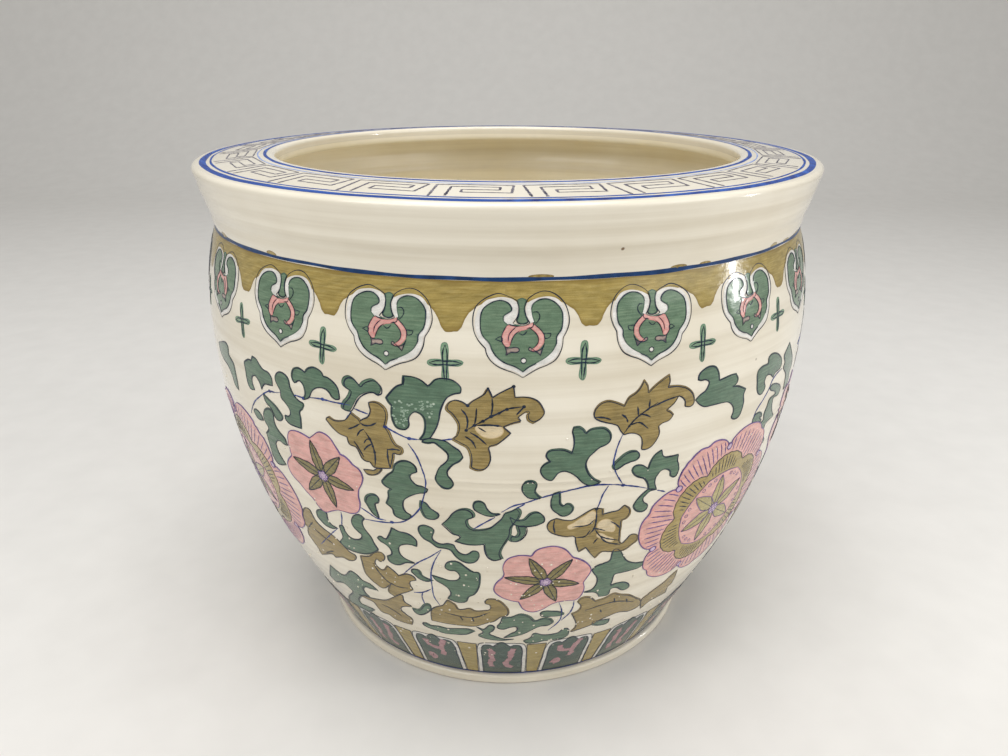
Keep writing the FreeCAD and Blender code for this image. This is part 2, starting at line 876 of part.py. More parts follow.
nodes = [
    foot_ring(),
    foot_lute(),
    lower_bowl(),
    belly_lute(),
    upper_wall(),
    collar_band("neck_lute", NECK_LEVEL, NECK_LEVEL + LUTE),
    collar_band("rim_collar", NECK_LEVEL + LUTE, COLLAR_TOP),
    collar_band("rim_lute", COLLAR_TOP, PLATE_LEVEL),
    rim_plate(),
    outside_glaze(),
    inside_glaze(),
    rim_glaze(),
    rim_ring("rim_outer_band"),
    rim_ring("rim_outer_line"),
    rim_ring("rim_hairline"),
    rim_ring("rim_inner_line"),
    key_fret(),
    neck_line(),
    foot_line(),
] + enamel_motifs()

doc.recompute()
for item in doc.Objects:
    if "Invalid" in item.State or "Error" in item.State:
        raise RuntimeError(f"{item.Label} failed: {item.State}")
for node in nodes:
    if node.Shape.isNull() or not node.Shape.isValid() or node.Shape.Volume <= 0:
        raise RuntimeError(f"{node.Label} has no valid solid")

os.makedirs("parts", exist_ok=True)
for node in nodes:
    node.Shape.exportStep(f"parts/{node.Label}.step")
    print(node.Label, len(node.Shape.Solids), "solids", round(node.Shape.Volume / 1000, 2), "cm3")
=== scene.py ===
import json
import math
import random

import bpy
import numpy as np
from mathutils import Matrix, Vector
from mathutils.geometry import delaunay_2d_cdt

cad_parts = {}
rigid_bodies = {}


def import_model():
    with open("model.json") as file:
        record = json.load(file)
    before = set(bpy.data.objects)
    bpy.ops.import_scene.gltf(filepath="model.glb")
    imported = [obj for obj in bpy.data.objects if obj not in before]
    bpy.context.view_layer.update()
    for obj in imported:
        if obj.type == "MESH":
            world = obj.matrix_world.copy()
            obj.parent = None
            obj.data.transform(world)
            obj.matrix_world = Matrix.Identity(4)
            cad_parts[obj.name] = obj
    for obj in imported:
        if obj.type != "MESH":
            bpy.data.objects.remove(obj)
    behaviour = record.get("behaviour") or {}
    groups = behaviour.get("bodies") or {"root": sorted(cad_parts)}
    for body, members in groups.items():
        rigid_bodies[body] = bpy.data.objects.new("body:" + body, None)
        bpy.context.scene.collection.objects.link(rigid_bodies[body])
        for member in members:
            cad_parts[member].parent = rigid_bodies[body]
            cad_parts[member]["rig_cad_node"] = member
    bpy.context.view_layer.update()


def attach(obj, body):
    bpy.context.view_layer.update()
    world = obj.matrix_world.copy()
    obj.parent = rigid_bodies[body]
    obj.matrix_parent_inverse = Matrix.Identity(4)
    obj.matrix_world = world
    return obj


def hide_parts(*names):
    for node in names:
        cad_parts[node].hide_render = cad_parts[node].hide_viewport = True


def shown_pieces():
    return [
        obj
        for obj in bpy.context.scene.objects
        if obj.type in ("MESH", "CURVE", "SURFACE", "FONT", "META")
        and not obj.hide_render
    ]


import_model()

# Ceramic fish bowl planter: one glaze over the thrown shape and enamels painted on the glaze.
# Metres; the foot's centre is the origin, +Z is up, and -Y is the front.
# An angle is measured round the pot from its front, positive to the right.
# A run is the way up the glazed outside from the top of the foot, over the rim and into the mouth.

MM = 0.001
TURN = 2 * math.pi

# Camera of the photograph, whose pixels the painted outlines are read in
PHOTO_WIDTH, PHOTO_HEIGHT = 1008, 756
FOCAL_PIXELS = 757.0
SENSOR_WIDTH = 36.0
CAMERA_PLACE = Vector((0.0, -0.4752, 0.3505))
CAMERA_PITCH = math.radians(23.07)
CAMERA_YAW = math.radians(0.2)
CAMERA_ROLL = math.radians(0.115)
CAMERA_TURN = (
    Matrix.Rotation(CAMERA_YAW, 3, "Z")
    @ Matrix.Rotation(math.pi / 2 - CAMERA_PITCH, 3, "X")
    @ Matrix.Rotation(CAMERA_ROLL, 3, "Z")
)
NEAREST, FURTHEST = 0.2, 0.6
SIGHT_STEPS, HALVINGS = 500, 24

# Glazed shape
FOOT_TOP = 6.0 * MM
BELLY_LEVEL = 209.0 * MM
NECK_LEVEL = 265.5 * MM
RIM_LEVEL = 297.5 * MM
LIP_LEVEL = 300.5 * MM
UNDER_LIP = 290.7 * MM
WALL_FOOT_RADIUS = 123.1 * MM
BELLY_RADIUS = 180.5 * MM
NECK_RADIUS = 171.1 * MM
RIM_RADIUS = 179.8 * MM
MOUTH_RADIUS = 135.2 * MM
FLANK_ANGLE = math.radians(24.6)
RIM_ROUND = 2.4 * MM
LIP_ROUND = 2.4 * MM
FOOT_BEAD = 2.8 * MM
FOOT_WIDTH = 16.0 * MM
FOOT_ROUND = 2.0 * MM
FLOOR_LEVEL = 19.4 * MM
CAVITY_ROUND = 13.4 * MM
WALL_DEPTH = 10.2 * MM
SHELF_RADIUS = 166.2 * MM
SHELF_ROUND = 4 * LIP_ROUND
NECK_INSIDE = 160.2 * MM
NECK_CLEARANCE = 7 * MM
NECK_SOFTNESS = 0.5 * MM
GLAZE_DEPTH = 0.45 * MM
LIP_DROP = 5.4 * MM
SINK = 0.05 * MM
FLANK_ARC = (
    (BELLY_LEVEL - FOOT_TOP) * math.tan(FLANK_ANGLE) - (BELLY_RADIUS - WALL_FOOT_RADIUS)
) / (1 / math.cos(FLANK_ANGLE) - 1)
SHOULDER_ARC = ((NECK_LEVEL - BELLY_LEVEL) ** 2 + (BELLY_RADIUS - NECK_RADIUS) ** 2) / (
    2 * (BELLY_RADIUS - NECK_RADIUS)
)
FLANK_TOP = BELLY_LEVEL - FLANK_ARC * math.sin(FLANK_ANGLE)

# Throwing rings: height and spacing in millimetres, and the way they sway round the pot
BODY_RINGS = ((0.02, 6.3, 1), (0.018, 10.7, -1))
COLLAR_RINGS = ((0.05, 4.3, 1), (0.2, 9.5, -1), (0.2, 14.7, 1))
INSIDE_RINGS = ((0.16, 9.3, 0), (0.1, 5.1, 0))
BODY_FADE, COLLAR_FADE = 4 * MM, 3 * MM

# Double ridge where the halves meet, wobble of the wall, and glaze that ran; heights in millimetres
SEAM_LEVELS = (168.4 * MM, 172.6 * MM)
SEAM_HEIGHT, SEAM_CHANGE = 0.32, 0.12
SEAM_WIDTH, SEAM_WANDER = 0.9 * MM, 0.5 * MM
WOBBLE = 0.12
TRICKLE_START, TRICKLE_END = np.array((-12.0, 284.0)), np.array((19.0, 276.5))
TRICKLE_HEIGHT, TRICKLE_WIDTH = 0.3, 1.7

# Mesh of the glaze
COLUMNS = 288
FINE = 0.25 * MM
ROW, BEND_ROW, BACK_ROW = 1.5 * MM, 0.7 * MM, 10.0 * MM
SEAM_BORDER, SEAM_ROW, LEAST_ROW = 4 * MM, 0.5 * MM, 0.2 * MM
LEVEL_ROW, INSIDE_ROW, INSIDE_BACK = 2 * MM, 1.6 * MM, 4
SHARP_ANGLE = math.radians(38)


def wall_radius(level):
    """Radius of the glazed outside, with the neck's corner softened."""
    flank = WALL_FOOT_RADIUS + math.tan(FLANK_ANGLE) * (level - FOOT_TOP)
    drop = BELLY_LEVEL - level
    belly = BELLY_RADIUS - FLANK_ARC + np.sqrt(FLANK_ARC ** 2 - drop ** 2)
    shoulder = BELLY_RADIUS - SHOULDER_ARC + np.sqrt(np.maximum(SHOULDER_ARC ** 2 - drop ** 2, 0))
    body = np.where(level < FLANK_TOP, flank, np.where(level < BELLY_LEVEL, belly, shoulder))
    collar = NECK_RADIUS + (RIM_RADIUS - NECK_RADIUS) * (level - NECK_LEVEL) / (RIM_LEVEL - NECK_LEVEL)
    apart = np.abs(body - collar) / NECK_SOFTNESS
    return np.maximum(body, collar) + NECK_SOFTNESS * np.log1p(np.exp(-apart))


def fillet(before, corner, after, radius, steps=14):
    """Arc that rounds a corner of a profile."""
    before, corner, after = (np.asarray(point, float) for point in (before, corner, after))
    back = (before - corner) / np.linalg.norm(before - corner)
    ahead = (after - corner) / np.linalg.norm(after - corner)
    half = math.acos(np.clip(back @ ahead, -1, 1)) / 2
    middle = (back + ahead) / np.linalg.norm(back + ahead)
    centre = corner + middle * radius / math.sin(half)
    start = corner + back * radius / math.tan(half) - centre
    end = corner + ahead * radius / math.tan(half) - centre
    sweep = math.pi - 2 * half
    shares = np.linspace(0, 1, steps)[:, None]
    return centre + (np.sin((1 - shares) * sweep) * start + np.sin(shares * sweep) * end) / math.sin(sweep)


def way_along(points):
    """Way from a line's start to each of its points."""
    return np.concatenate(([0], np.cumsum(np.linalg.norm(np.diff(points, axis=0), axis=1))))


def resampled(points, spacing, closed=False):
    """Same line with even spacing."""
    points = np.vstack((points, points[:1])) if closed else np.asarray(points)
    way = way_along(points)
    count = max(int(round(way[-1] / spacing)), 2)
    places = np.linspace(0, way[-1], count + 1)[:count if closed else None]
    return np.column_stack([np.interp(places, way, points[:, axis]) for axis in (0, 1)])


def unit(steps):
    return steps / np.maximum(np.linalg.norm(steps, axis=1), 1e-12)[:, None]


def left_of(line, closed=True):
    """Unit step to the left of a line at each of its points."""
    if closed:
        ahead = unit(np.roll(line, -1, axis=0) - np.roll(line, 1, axis=0))
    else:
        ahead = unit(np.gradient(line, axis=0))
    return np.column_stack((-ahead[:, 1], ahead[:, 0]))


def winding(outline):
    """Above zero for an outline that goes round to the left."""
    return np.cross(outline, np.roll(outline, -1, axis=0)).sum()


def around(count):
    """Even angles right round."""
    return np.arange(count) * TURN / count


def oval(count, width=1.0, height=1.0, lean=0.0):
    turns = around(count) + lean
    return np.column_stack((width * np.cos(turns), height * np.sin(turns)))


def rotation(angle):
    return np.array(((math.cos(angle), -math.sin(angle)), (math.sin(angle), math.cos(angle))))


def outside_profile():
    levels = np.arange(FOOT_TOP, RIM_LEVEL - 2 * RIM_ROUND, FINE)
    wall = np.column_stack((wall_radius(levels), levels))
    edge, lip = (RIM_RADIUS, RIM_LEVEL), (MOUTH_RADIUS, LIP_LEVEL)
    under, inwards = (MOUTH_RADIUS, UNDER_LIP), (RIM_RADIUS, UNDER_LIP)
    rim_round = fillet(wall[-1], edge, lip, RIM_ROUND)
    lip_round = fillet(edge, lip, under, LIP_ROUND)
    under_round = fillet(lip, under, inwards, LIP_ROUND)
    return resampled(np.vstack((wall, rim_round, lip_round, under_round)), FINE)


PROFILE = outside_profile()
PROFILE_RUN = way_along(PROFILE)
PROFILE_AHEAD = np.gradient(PROFILE, PROFILE_RUN, axis=0)
WALL_COUNT = int(np.argmax(PROFILE[:, 1] > RIM_LEVEL - RIM_ROUND))
TOP_START = int(np.argmax(PROFILE[:, 1] > RIM_LEVEL))
TOP_END = int(np.argmax(PROFILE[:, 1]))
GLAZE_END = float(np.interp(LIP_DROP - LIP_LEVEL, -PROFILE[TOP_END:, 1], PROFILE_RUN[TOP_END:]))


def run_at_level(level):
    """Run to a level of the wall."""
    return np.interp(level, PROFILE[:WALL_COUNT, 1], PROFILE_RUN[:WALL_COUNT])


def run_at_radius(radius):
    """Run to a radius of the rim's top."""
    top = slice(TOP_END, TOP_START, -1)
    return np.interp(radius, PROFILE[top, 0], PROFILE_RUN[top])


def radius_at(run):
    return np.interp(run, PROFILE_RUN, PROFILE[:, 0])


def level_at(run):
    return np.interp(run, PROFILE_RUN, PROFILE[:, 1])


def outwards(run):
    """How far a unit step off the glaze goes out, and how far up."""
    out, back = (np.interp(run, PROFILE_RUN, PROFILE_AHEAD[:, axis]) for axis in (1, 0))
    return out, -back


NECK_RUN = float(run_at_level(NECK_LEVEL))
COLLAR_RUN = float(run_at_level(RIM_LEVEL - 2 * RIM_ROUND))


def trickle(angle, level):
    """Glaze that ran down the collar a little at the front."""
    way = TRICKLE_END - TRICKLE_START
    across, up = angle * RIM_RADIUS / MM - TRICKLE_START[0], level / MM - TRICKLE_START[1]
    share = np.clip((across * way[0] + up * way[1]) / (way @ way), 0, 1)
    apart = np.hypot(across - share * way[0], up - share * way[1])
    return TRICKLE_HEIGHT * np.exp(-((apart / TRICKLE_WIDTH) ** 2))


def rings(kinds, level, sway=0.0):
    """Throwing rings, in millimetres."""
    return sum(height * np.sin(TURN * level / (spacing * MM) + way * sway) for height, spacing, way in kinds)


def relief(angle, run):
    """Hand-thrown unevenness: throwing rings, the joint of the two halves, and a slight wobble."""
    level = level_at(run)
    body = np.clip((NECK_RUN - run) / BODY_FADE, 0, 1)
    collar = np.clip((run - NECK_RUN) / COLLAR_FADE, 0, 1) * np.clip((COLLAR_RUN - run) / COLLAR_FADE, 0, 1)
    sway = 0.6 * np.sin(angle + 0.9) + 0.4 * np.sin(2 * angle + 2.1)
    seam = 0
    for seam_level in SEAM_LEVELS:
        wander = SEAM_WANDER * np.sin(3 * angle + seam_level / MM)
        height = SEAM_HEIGHT + SEAM_CHANGE * np.sin(5 * angle + 1.3)
        seam = seam + height * np.exp(-(((level - seam_level - wander) / SEAM_WIDTH) ** 2))
    on_body = rings(BODY_RINGS, level, sway) + seam
    on_collar = rings(COLLAR_RINGS, level, sway) + trickle(angle, level)
    wobble = WOBBLE * np.sin(2 * angle + 0.4) * np.sin(math.pi * level / NECK_LEVEL)
    return MM * (body * on_body + collar * on_collar + wobble * (run < COLLAR_RUN))


def on_pot(angle, run, height):
    """Point over the glazed outside, rim included."""
    out, up = outwards(run)
    raised = height + relief(angle, run)
    radius, level = radius_at(run) + raised * out, level_at(run) + raised * up
    return np.stack((radius * np.sin(angle), -radius * np.cos(angle), level), -1)


# Photograph to pot

def from_photo(pixels):
    """Angle and run where a pixel's line of sight meets the wall."""
    across = (pixels[:, 0] - PHOTO_WIDTH / 2) / FOCAL_PIXELS
    down = (pixels[:, 1] - PHOTO_HEIGHT / 2) / FOCAL_PIXELS
    sight = np.column_stack((across, -down, -np.ones(len(pixels)))) @ np.array(CAMERA_TURN).T
    place = np.array(CAMERA_PLACE)

    def clearance(distance):
        point = place + sight * distance[..., None]
        level = np.clip(point[..., 2], FOOT_TOP, NECK_LEVEL)
        over = np.hypot(point[..., 0], point[..., 1]) - wall_radius(level)
        return over + np.abs(point[..., 2] - level)

    steps = np.linspace(NEAREST, FURTHEST, SIGHT_STEPS)
    gaps = np.array([clearance(np.full(len(pixels), step)) for step in steps])
    met = gaps < 0
    first = np.where(met.any(0), met.argmax(0), gaps.argmin(0))
    near, far = steps[np.maximum(first - 1, 0)], steps[first]
    for _ in range(HALVINGS):
        middle = (near + far) / 2
        beyond = clearance(middle) < 0
        far = np.where(beyond, middle, far)
        near = np.where(beyond, near, middle)
    point = place + sight * far[:, None]
    angle = np.arctan2(point[:, 0], -point[:, 1])
    return np.column_stack((angle, run_at_level(np.clip(point[:, 2], FOOT_TOP, NECK_LEVEL))))


def read_words(text):
    """Numbers of each word, such as x,y with ^ after a sharp corner, and which words are corners."""
    words = text.split()
    numbers = np.array([[float(part) for part in word.rstrip("^").split(",")] for word in words])
    return numbers, [word.endswith("^") for word in words]


def curve(text, closed, step):
    """Curve through the points that is smooth except at its corners."""
    points, corners = read_words(text)
    count = len(points)
    if not closed:
        corners[0] = corners[-1] = True
    sides = np.roll(points, -1, axis=0) - points
    lengths = np.linalg.norm(sides, axis=1)
    ahead = unit(sides)
    through = unit(ahead + np.roll(ahead, 1, axis=0))
    line = []
    for index in range(count if closed else count - 1):
        following = (index + 1) % count
        leave = ahead[index] if corners[index] else through[index]
        arrive = ahead[index] if corners[following] else through[following]
        share = np.arange(0, 1, 1 / max(int(lengths[index] / step), 1))[:, None]
        square, cube = share ** 2, share ** 3
        line.append(
            (2 * cube - 3 * square + 1) * points[index]
            + (cube - 2 * square + share) * lengths[index] * leave
            + (3 * square - 2 * cube) * points[following]
            + (cube - square) * lengths[index] * arrive
        )
    if not closed:
        line.append(points[-1:])
    return np.vstack(line)


TENTH = 0.1
PIXEL_STEP = 11.0


def seen(window, points):
    """Places on the pot of points in tenths of a pixel from a window's corner."""
    return from_photo(np.array(window) + TENTH * points)


def drawn(window, text, closed=True):
    """Line read off the photo, laid on the pot."""
    return seen(window, curve(text, closed, PIXEL_STEP))


def placed(points, angle, run):
    """Line drawn on the flat, in metres about its middle, laid on the pot."""
    return np.column_stack((angle + points[:, 0] / radius_at(run), run + points[:, 1]))


def inside(points, outline):
    """Which points are inside an outline."""
    x, y = points[:, 0][:, None], points[:, 1][:, None]
    start, end = outline, np.roll(outline, -1, axis=0)
    crosses = (start[:, 1] > y) != (end[:, 1] > y)
    rise = np.where(end[:, 1] == start[:, 1], 1e-12, end[:, 1] - start[:, 1])
    at = start[:, 0] + (y - start[:, 1]) * (end[:, 0] - start[:, 0]) / rise
    return (crosses & (x < at)).sum(1) % 2 == 1


# Paint: spacing of its mesh, with closer rows over the seam, and shares of its height and width
GRID, GRID_MARGIN = 2.5 * MM, 1.5 * MM
EDGE, EDGE_MARGIN = 0.7 * MM, 0.55 * MM
STROKE_STEP = 0.95 * MM
SEAM_GRID, SEAM_REACH, SEAM_STEP = 1.3 * MM, 2.1 * MM, 0.7 * MM
SEAM_RUNS = run_at_level(
    np.arange(SEAM_LEVELS[0] - SEAM_REACH, SEAM_LEVELS[1] + SEAM_REACH + SEAM_STEP / 2, SEAM_STEP)
)
FILL_EDGE, BAND_EDGE = 0.85, 0.7
STROKE_SIDES = (1.0, 0.8, -0.8, -1.0)
SWELL, SWELL_WAVES = 0.16, (2, 5, 11)
TAPER, THIN_END = 0.16, 0.3
STAY = ((0.0, 1.0, 0.0),)


class Paint:
    """Enamel of one colour, built up shape by shape into one mesh. Lifts and widths are in millimetres."""

    made = []

    def __init__(self, name, material, slot, *nodes):
        self.name, self.material, self.slot, self.nodes = name, material, slot, nodes
        self.points, self.brush, self.pool, self.faces = [], [], [], []
        self.count = 0
        Paint.made.append(self)

    def lay(self, angle, run, height, pool, faces, copies=STAY):
        """Add one shape, once for each copy: pivot, stretch and turn of its angles."""
        for pivot, stretch, turn in copies:
            turned_angle = pivot + (angle - pivot) * stretch + turn
            self.points.append(on_pot(turned_angle, run, height))
            self.brush.append(np.column_stack((turned_angle * radius_at(run), run)))
            self.pool.append(np.broadcast_to(pool, len(run)))
            self.faces.extend([tuple(index + self.count for index in face) for face in faces])
            self.count += len(run)

    def fill(self, outline, lift, copies=STAY):
        """Thin slab of paint inside an outline, a little lower along its edge."""
        lift = lift * MM
        middle = outline.mean(0)
        radius = float(radius_at(middle[1]))
        flat = (outline - middle) * (radius, 1.0)
        if winding(flat) < 0:
            flat = flat[::-1]
        low, high = flat.min(0), flat.max(0)
        columns, rows = (np.arange(low[axis], high[axis], GRID) for axis in (0, 1))
        grid = [(x + (row % 2) * GRID / 2, y) for row, y in enumerate(rows) for x in columns]
        on_seam = [y for y in SEAM_RUNS - middle[1] if low[1] < y < high[1]]
        grid += [(x, y) for y in on_seam for x in np.arange(low[0], high[0], SEAM_GRID)]
        along = (flat + EDGE * left_of(flat))[::2]
        corners = [flat]
        for points, margin in ((np.array(grid).reshape(-1, 2), GRID_MARGIN), (along, EDGE_MARGIN)):
            points = points[inside(points, flat)]
            off = np.linalg.norm(points[:, None] - flat[None], axis=2).min(1)
            corners.append(points[off > margin])
        corners = [Vector(point) for point in np.vstack(corners)]
        result = delaunay_2d_cdt(corners, [], [list(range(len(flat)))], 1, 1e-9)
        points, triangles = np.array(result[0]), result[2]
        edges = dict.fromkeys(side for a, b, c in triangles for side in ((a, b), (b, c), (c, a)))
        border = [side for side in edges if side[::-1] not in edges]
        size = len(points)
        on_border = np.zeros(size, bool)
        on_border[[index for side in border for index in side]] = True
        faces = [*triangles, *((c + size, b + size, a + size) for a, b, c in triangles)]
        faces += [(b, a, a + size, b + size) for a, b in border]
        angle = np.tile(middle[0] + points[:, 0] / radius, 2)
        run = np.tile(middle[1] + points[:, 1], 2)
        height = np.concatenate((np.where(on_border, FILL_EDGE * lift, lift), np.full(size, -SINK)))
        self.lay(angle, run, height, np.tile(np.where(on_border, 0.0, 1.0), 2), faces, copies)

    def stroke(self, path, line, seed, copies=STAY, closed=False, blunt=False):
        """Brush line, a width and a lift, that swells and thins along its way."""
        width, lift = (size * MM for size in line)
        middle = path.mean(0)
        radius = float(radius_at(middle[1]))
        flat = resampled((path - middle) * (radius, 1.0), STROKE_STEP, closed)
        left = left_of(flat, closed)
        count = len(flat)
        share = np.arange(count) / (count - 1)
        chance = random.Random(seed)
        swell = 1.0
        for waves in SWELL_WAVES:
            waves = waves if closed else waves * chance.uniform(0.8, 1.2)
            swell = swell + SWELL * np.sin(TURN * (waves * share + chance.random()))
        if not closed and not blunt:
            swell = swell * np.clip(np.minimum(share, 1 - share) / TAPER, THIN_END, 1)
        half = width / 2 * swell
        points = np.stack([flat + left * (half * side)[:, None] for side in STROKE_SIDES], 1).reshape(-1, 2)
        faces = []
        for index in range(count if closed else count - 1):
            near, far = 4 * index, 4 * ((index + 1) % count)
            for side, beside in ((0, 1), (1, 2), (2, 3), (3, 0)):
                faces.append((near + side, near + beside, far + beside, far + side))
        if not closed:
            last = 4 * (count - 1)
            faces += [(3, 2, 1, 0), (last, last + 1, last + 2, last + 3)]
        height = np.tile((-SINK, lift, lift, -SINK), count)
        self.lay(middle[0] + points[:, 0] / radius, middle[1] + points[:, 1], height, 1.0, faces, copies)

    def outline(self, path, line, seed, copies=STAY):
        """Brush line that comes back to its start."""
        self.stroke(path, line, seed, copies, closed=True)

    def band(self, angles, low, high, lift, rows):
        """Band right round the pot between two edges, each a run for every angle."""
        lift = lift * MM
        count = rows + 3
        runs = [low + (high - low) * share for share in np.linspace(0, 1, rows + 1)] + [high, low]
        inner = np.ones(rows - 1)
        heights = np.concatenate(([BAND_EDGE * lift], inner * lift, [BAND_EDGE * lift, -SINK, -SINK]))
        pool = np.concatenate(([0.0], inner, [0.0, 0.0, 0.0]))
        faces = []
        for column in range(len(angles)):
            near, far = column * count, (column + 1) % len(angles) * count
            for row in range(count):
                above = (row + 1) % count
                faces.append((near + row, far + row, far + above, near + above))
        heights, pool = np.tile(heights, len(angles)), np.tile(pool, len(angles))
        self.lay(np.repeat(angles, count), np.column_stack(runs).ravel(), heights, pool, faces)

    def build(self):
        brush, pool = np.vstack(self.brush), np.concatenate(self.pool)
        new_piece(
            self.name, np.vstack(self.points), self.faces, [self.material], self.nodes, brush, pool
        )


def new_piece(name, points, faces, materials, nodes=(), brush=None, pool=None, kinds=None):
    mesh = bpy.data.meshes.new(name)
    mesh.from_pydata(points.tolist(), [], faces)
    for material in materials:
        mesh.materials.append(material)
    if kinds is not None:
        mesh.polygons.foreach_set("material_index", kinds)
    if brush is not None:
        corners = np.zeros(len(mesh.loops), np.int32)
        mesh.loops.foreach_get("vertex_index", corners)
        layer = mesh.uv_layers.new(name="brush")
        layer.data.foreach_set("uv", brush[corners].ravel().astype(np.float32))
        mesh.attributes.new("pool", "FLOAT", "POINT").data.foreach_set("value", pool.astype(np.float32))
    mesh.polygons.foreach_set("use_smooth", np.ones(len(mesh.polygons), bool))
    mesh.set_sharp_from_angle(angle=SHARP_ANGLE)
    mesh.update()
    piece = bpy.data.objects.new(name, mesh)
    bpy.context.scene.collection.objects.link(piece)
    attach(piece, "root")
    if nodes:
        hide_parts(*nodes)


def turned_faces(radii):
    """Faces of a closed profile turned about the axis; a corner on the axis is one point."""
    starts = np.concatenate(([0], np.cumsum(np.where(radii > 0, COLUMNS, 1)))).tolist()
    faces = []
    for row in range(len(radii)):
        above = (row + 1) % len(radii)
        if radii[row] == 0 and radii[above] == 0:
            continue
        for column in range(COLUMNS):
            beside = (column + 1) % COLUMNS
            low = (starts[row] + column, starts[row] + beside) if radii[row] > 0 else (starts[row],)
            high = (starts[above] + beside, starts[above] + column) if radii[above] > 0 else (starts[above],)
            faces.append(low + high)
    return faces


def turned_points(profile):
    angles = around(COLUMNS)
    rows = []
    for radius, level in profile:
        if radius > 0:
            circle = (radius * np.sin(angles), -radius * np.cos(angles), np.full(COLUMNS, level))
            rows.append(np.column_stack(circle))
        else:
            rows.append(np.array([[0.0, 0.0, level]]))
    return np.vstack(rows)


# Materials

def shown(text):
    """Linear colours for the red,green,blue words that a picture shows."""
    shares = read_words(text)[0] / 255
    linear = np.where(shares <= 0.04045, shares / 12.92, ((shares + 0.055) / 1.055) ** 2.4)
    return [(*colour, 1.0) for colour in linear.tolist()]


NONE, FULL = (0.0, 0.0, 0.0, 1.0), (1.0, 1.0, 1.0, 1.0)
PATCH_TONE = (0.76, 0.77, 0.76, 1.0)
FLECK_TONE = (0.86, 0.86, 0.86, 1.0)
# Darker horizontal glaze streaks: partly throwing lines, partly painted reflection
STREAK_AND_REFLECTION_TONE = (0.85, 0.83, 0.79, 1.0)
PINHOLE_COLOUR = shown("120,96,70")[0]
PINHOLE_SCALE = 60.0
DULL_LINE, RIM_LINE = 0.25, 0.03


class Surface:
    """Procedural material with a few short ways to add and join its nodes."""

    def __init__(self, name, roughness, coat=0.0, gloss=0.5):
        self.material = bpy.data.materials.new(name)
        self.material.use_nodes = True
        self.tree = self.material.node_tree
        self.shader = self.tree.nodes["Principled BSDF"]
        self.feed(self.shader, {"Roughness": roughness, "Specular IOR Level": gloss, "IOR": 1.5})
        self.feed(self.shader, {"Coat Weight": coat, "Coat Roughness": 0.06})

    def feed(self, node, inputs):
        """Give a node's inputs their values or join them to other nodes."""
        for name, value in inputs.items():
            if isinstance(value, bpy.types.NodeSocket):
                self.tree.links.new(value, node.inputs[name])
            else:
                node.inputs[name].default_value = value

    def node(self, kind, inputs, **settings):
        made = self.tree.nodes.new(kind)
        for name, value in settings.items():
            setattr(made, name, value)
        self.feed(made, inputs)
        return made.outputs

    def brush(self):
        """Way along and across the brush."""
        return self.node("ShaderNodeUVMap", {}, uv_map="brush")["UV"]

    def place(self):
        return self.node("ShaderNodeTexCoord", {})["Object"]

    def noise(self, coordinates, stretch, detail=3.0, roughness=0.55):
        mapped = self.node("ShaderNodeMapping", {"Vector": coordinates, "Scale": stretch})["Vector"]
        inputs = {"Vector": mapped, "Scale": 1.0, "Detail": detail, "Roughness": roughness}
        return self.node("ShaderNodeTexNoise", inputs)["Fac"]

    def ramp(self, source, *stops):
        made = self.tree.nodes.new("ShaderNodeValToRGB")
        elements = made.color_ramp.elements
        while len(elements) < len(stops):
            elements.new(0.5)
        for element, (place, colour) in zip(elements, stops):
            element.position = place
            element.color = colour
        self.feed(made, {"Fac": source})
        return made.outputs["Color"]

    def mix(self, share, first, second, blend="MIX"):
        inputs = {0: share, 6: first, 7: second}
        return self.node("ShaderNodeMix", inputs, data_type="RGBA", blend_type=blend)[2]

    def times(self, first, second):
        return self.mix(1.0, first, second, "MULTIPLY")

    def bump(self, source, strength, distance):
        inputs = {"Height": source, "Strength": strength, "Distance": distance}
        self.feed(self.shader, {"Normal": self.node("ShaderNodeBump", inputs)["Normal"]})

    def colour(self, source):
        self.feed(self.shader, {"Base Color": source})
        return self.material


def enamel(name, colours):
    """Brushed enamel: streaks along the brush, and deeper colour where it pooled along an edge."""
    dark, plain, pale, pooled = shown(colours)
    surface = Surface(name, 0.2, coat=0.3, gloss=0.35)
    brush = surface.brush()
    streaks = surface.noise(brush, (75, 1100, 1), 5.0, 0.6)
    clouds = surface.noise(brush, (150, 230, 1))
    grain = surface.noise(brush, (2200, 2200, 1), 2.0)
    tone = surface.ramp(streaks, (0.2, dark), (0.5, plain), (0.86, pale))
    patch = surface.ramp(clouds, (0.34, PATCH_TONE), (0.62, FULL))
    fleck = surface.ramp(grain, (0.32, FLECK_TONE), (0.6, FULL))
    body = surface.times(surface.times(tone, patch), fleck)
    pool = surface.node("ShaderNodeAttribute", {}, attribute_name="pool")["Fac"]
    edge = surface.ramp(pool, (0.0, NONE), (0.9, FULL))
    surface.bump(surface.noise(brush, (330, 420, 1)), 0.4, 0.35 * MM)
    return surface.colour(surface.mix(edge, pooled, body))


def line_enamel(name, colours, gloss=DULL_LINE):
    """Enamel of a fine line, thinner and paler here and there."""
    dark, pale = shown(colours)
    surface = Surface(name, 0.3, gloss=gloss)
    brush = surface.brush()
    flow = surface.noise(brush, (140, 140, 1))
    surface.bump(surface.noise(brush, (1200, 1200, 1), 2.0), 0.2, 0.1 * MM)
    return surface.colour(surface.ramp(flow, (0.35, dark), (0.75, pale)))


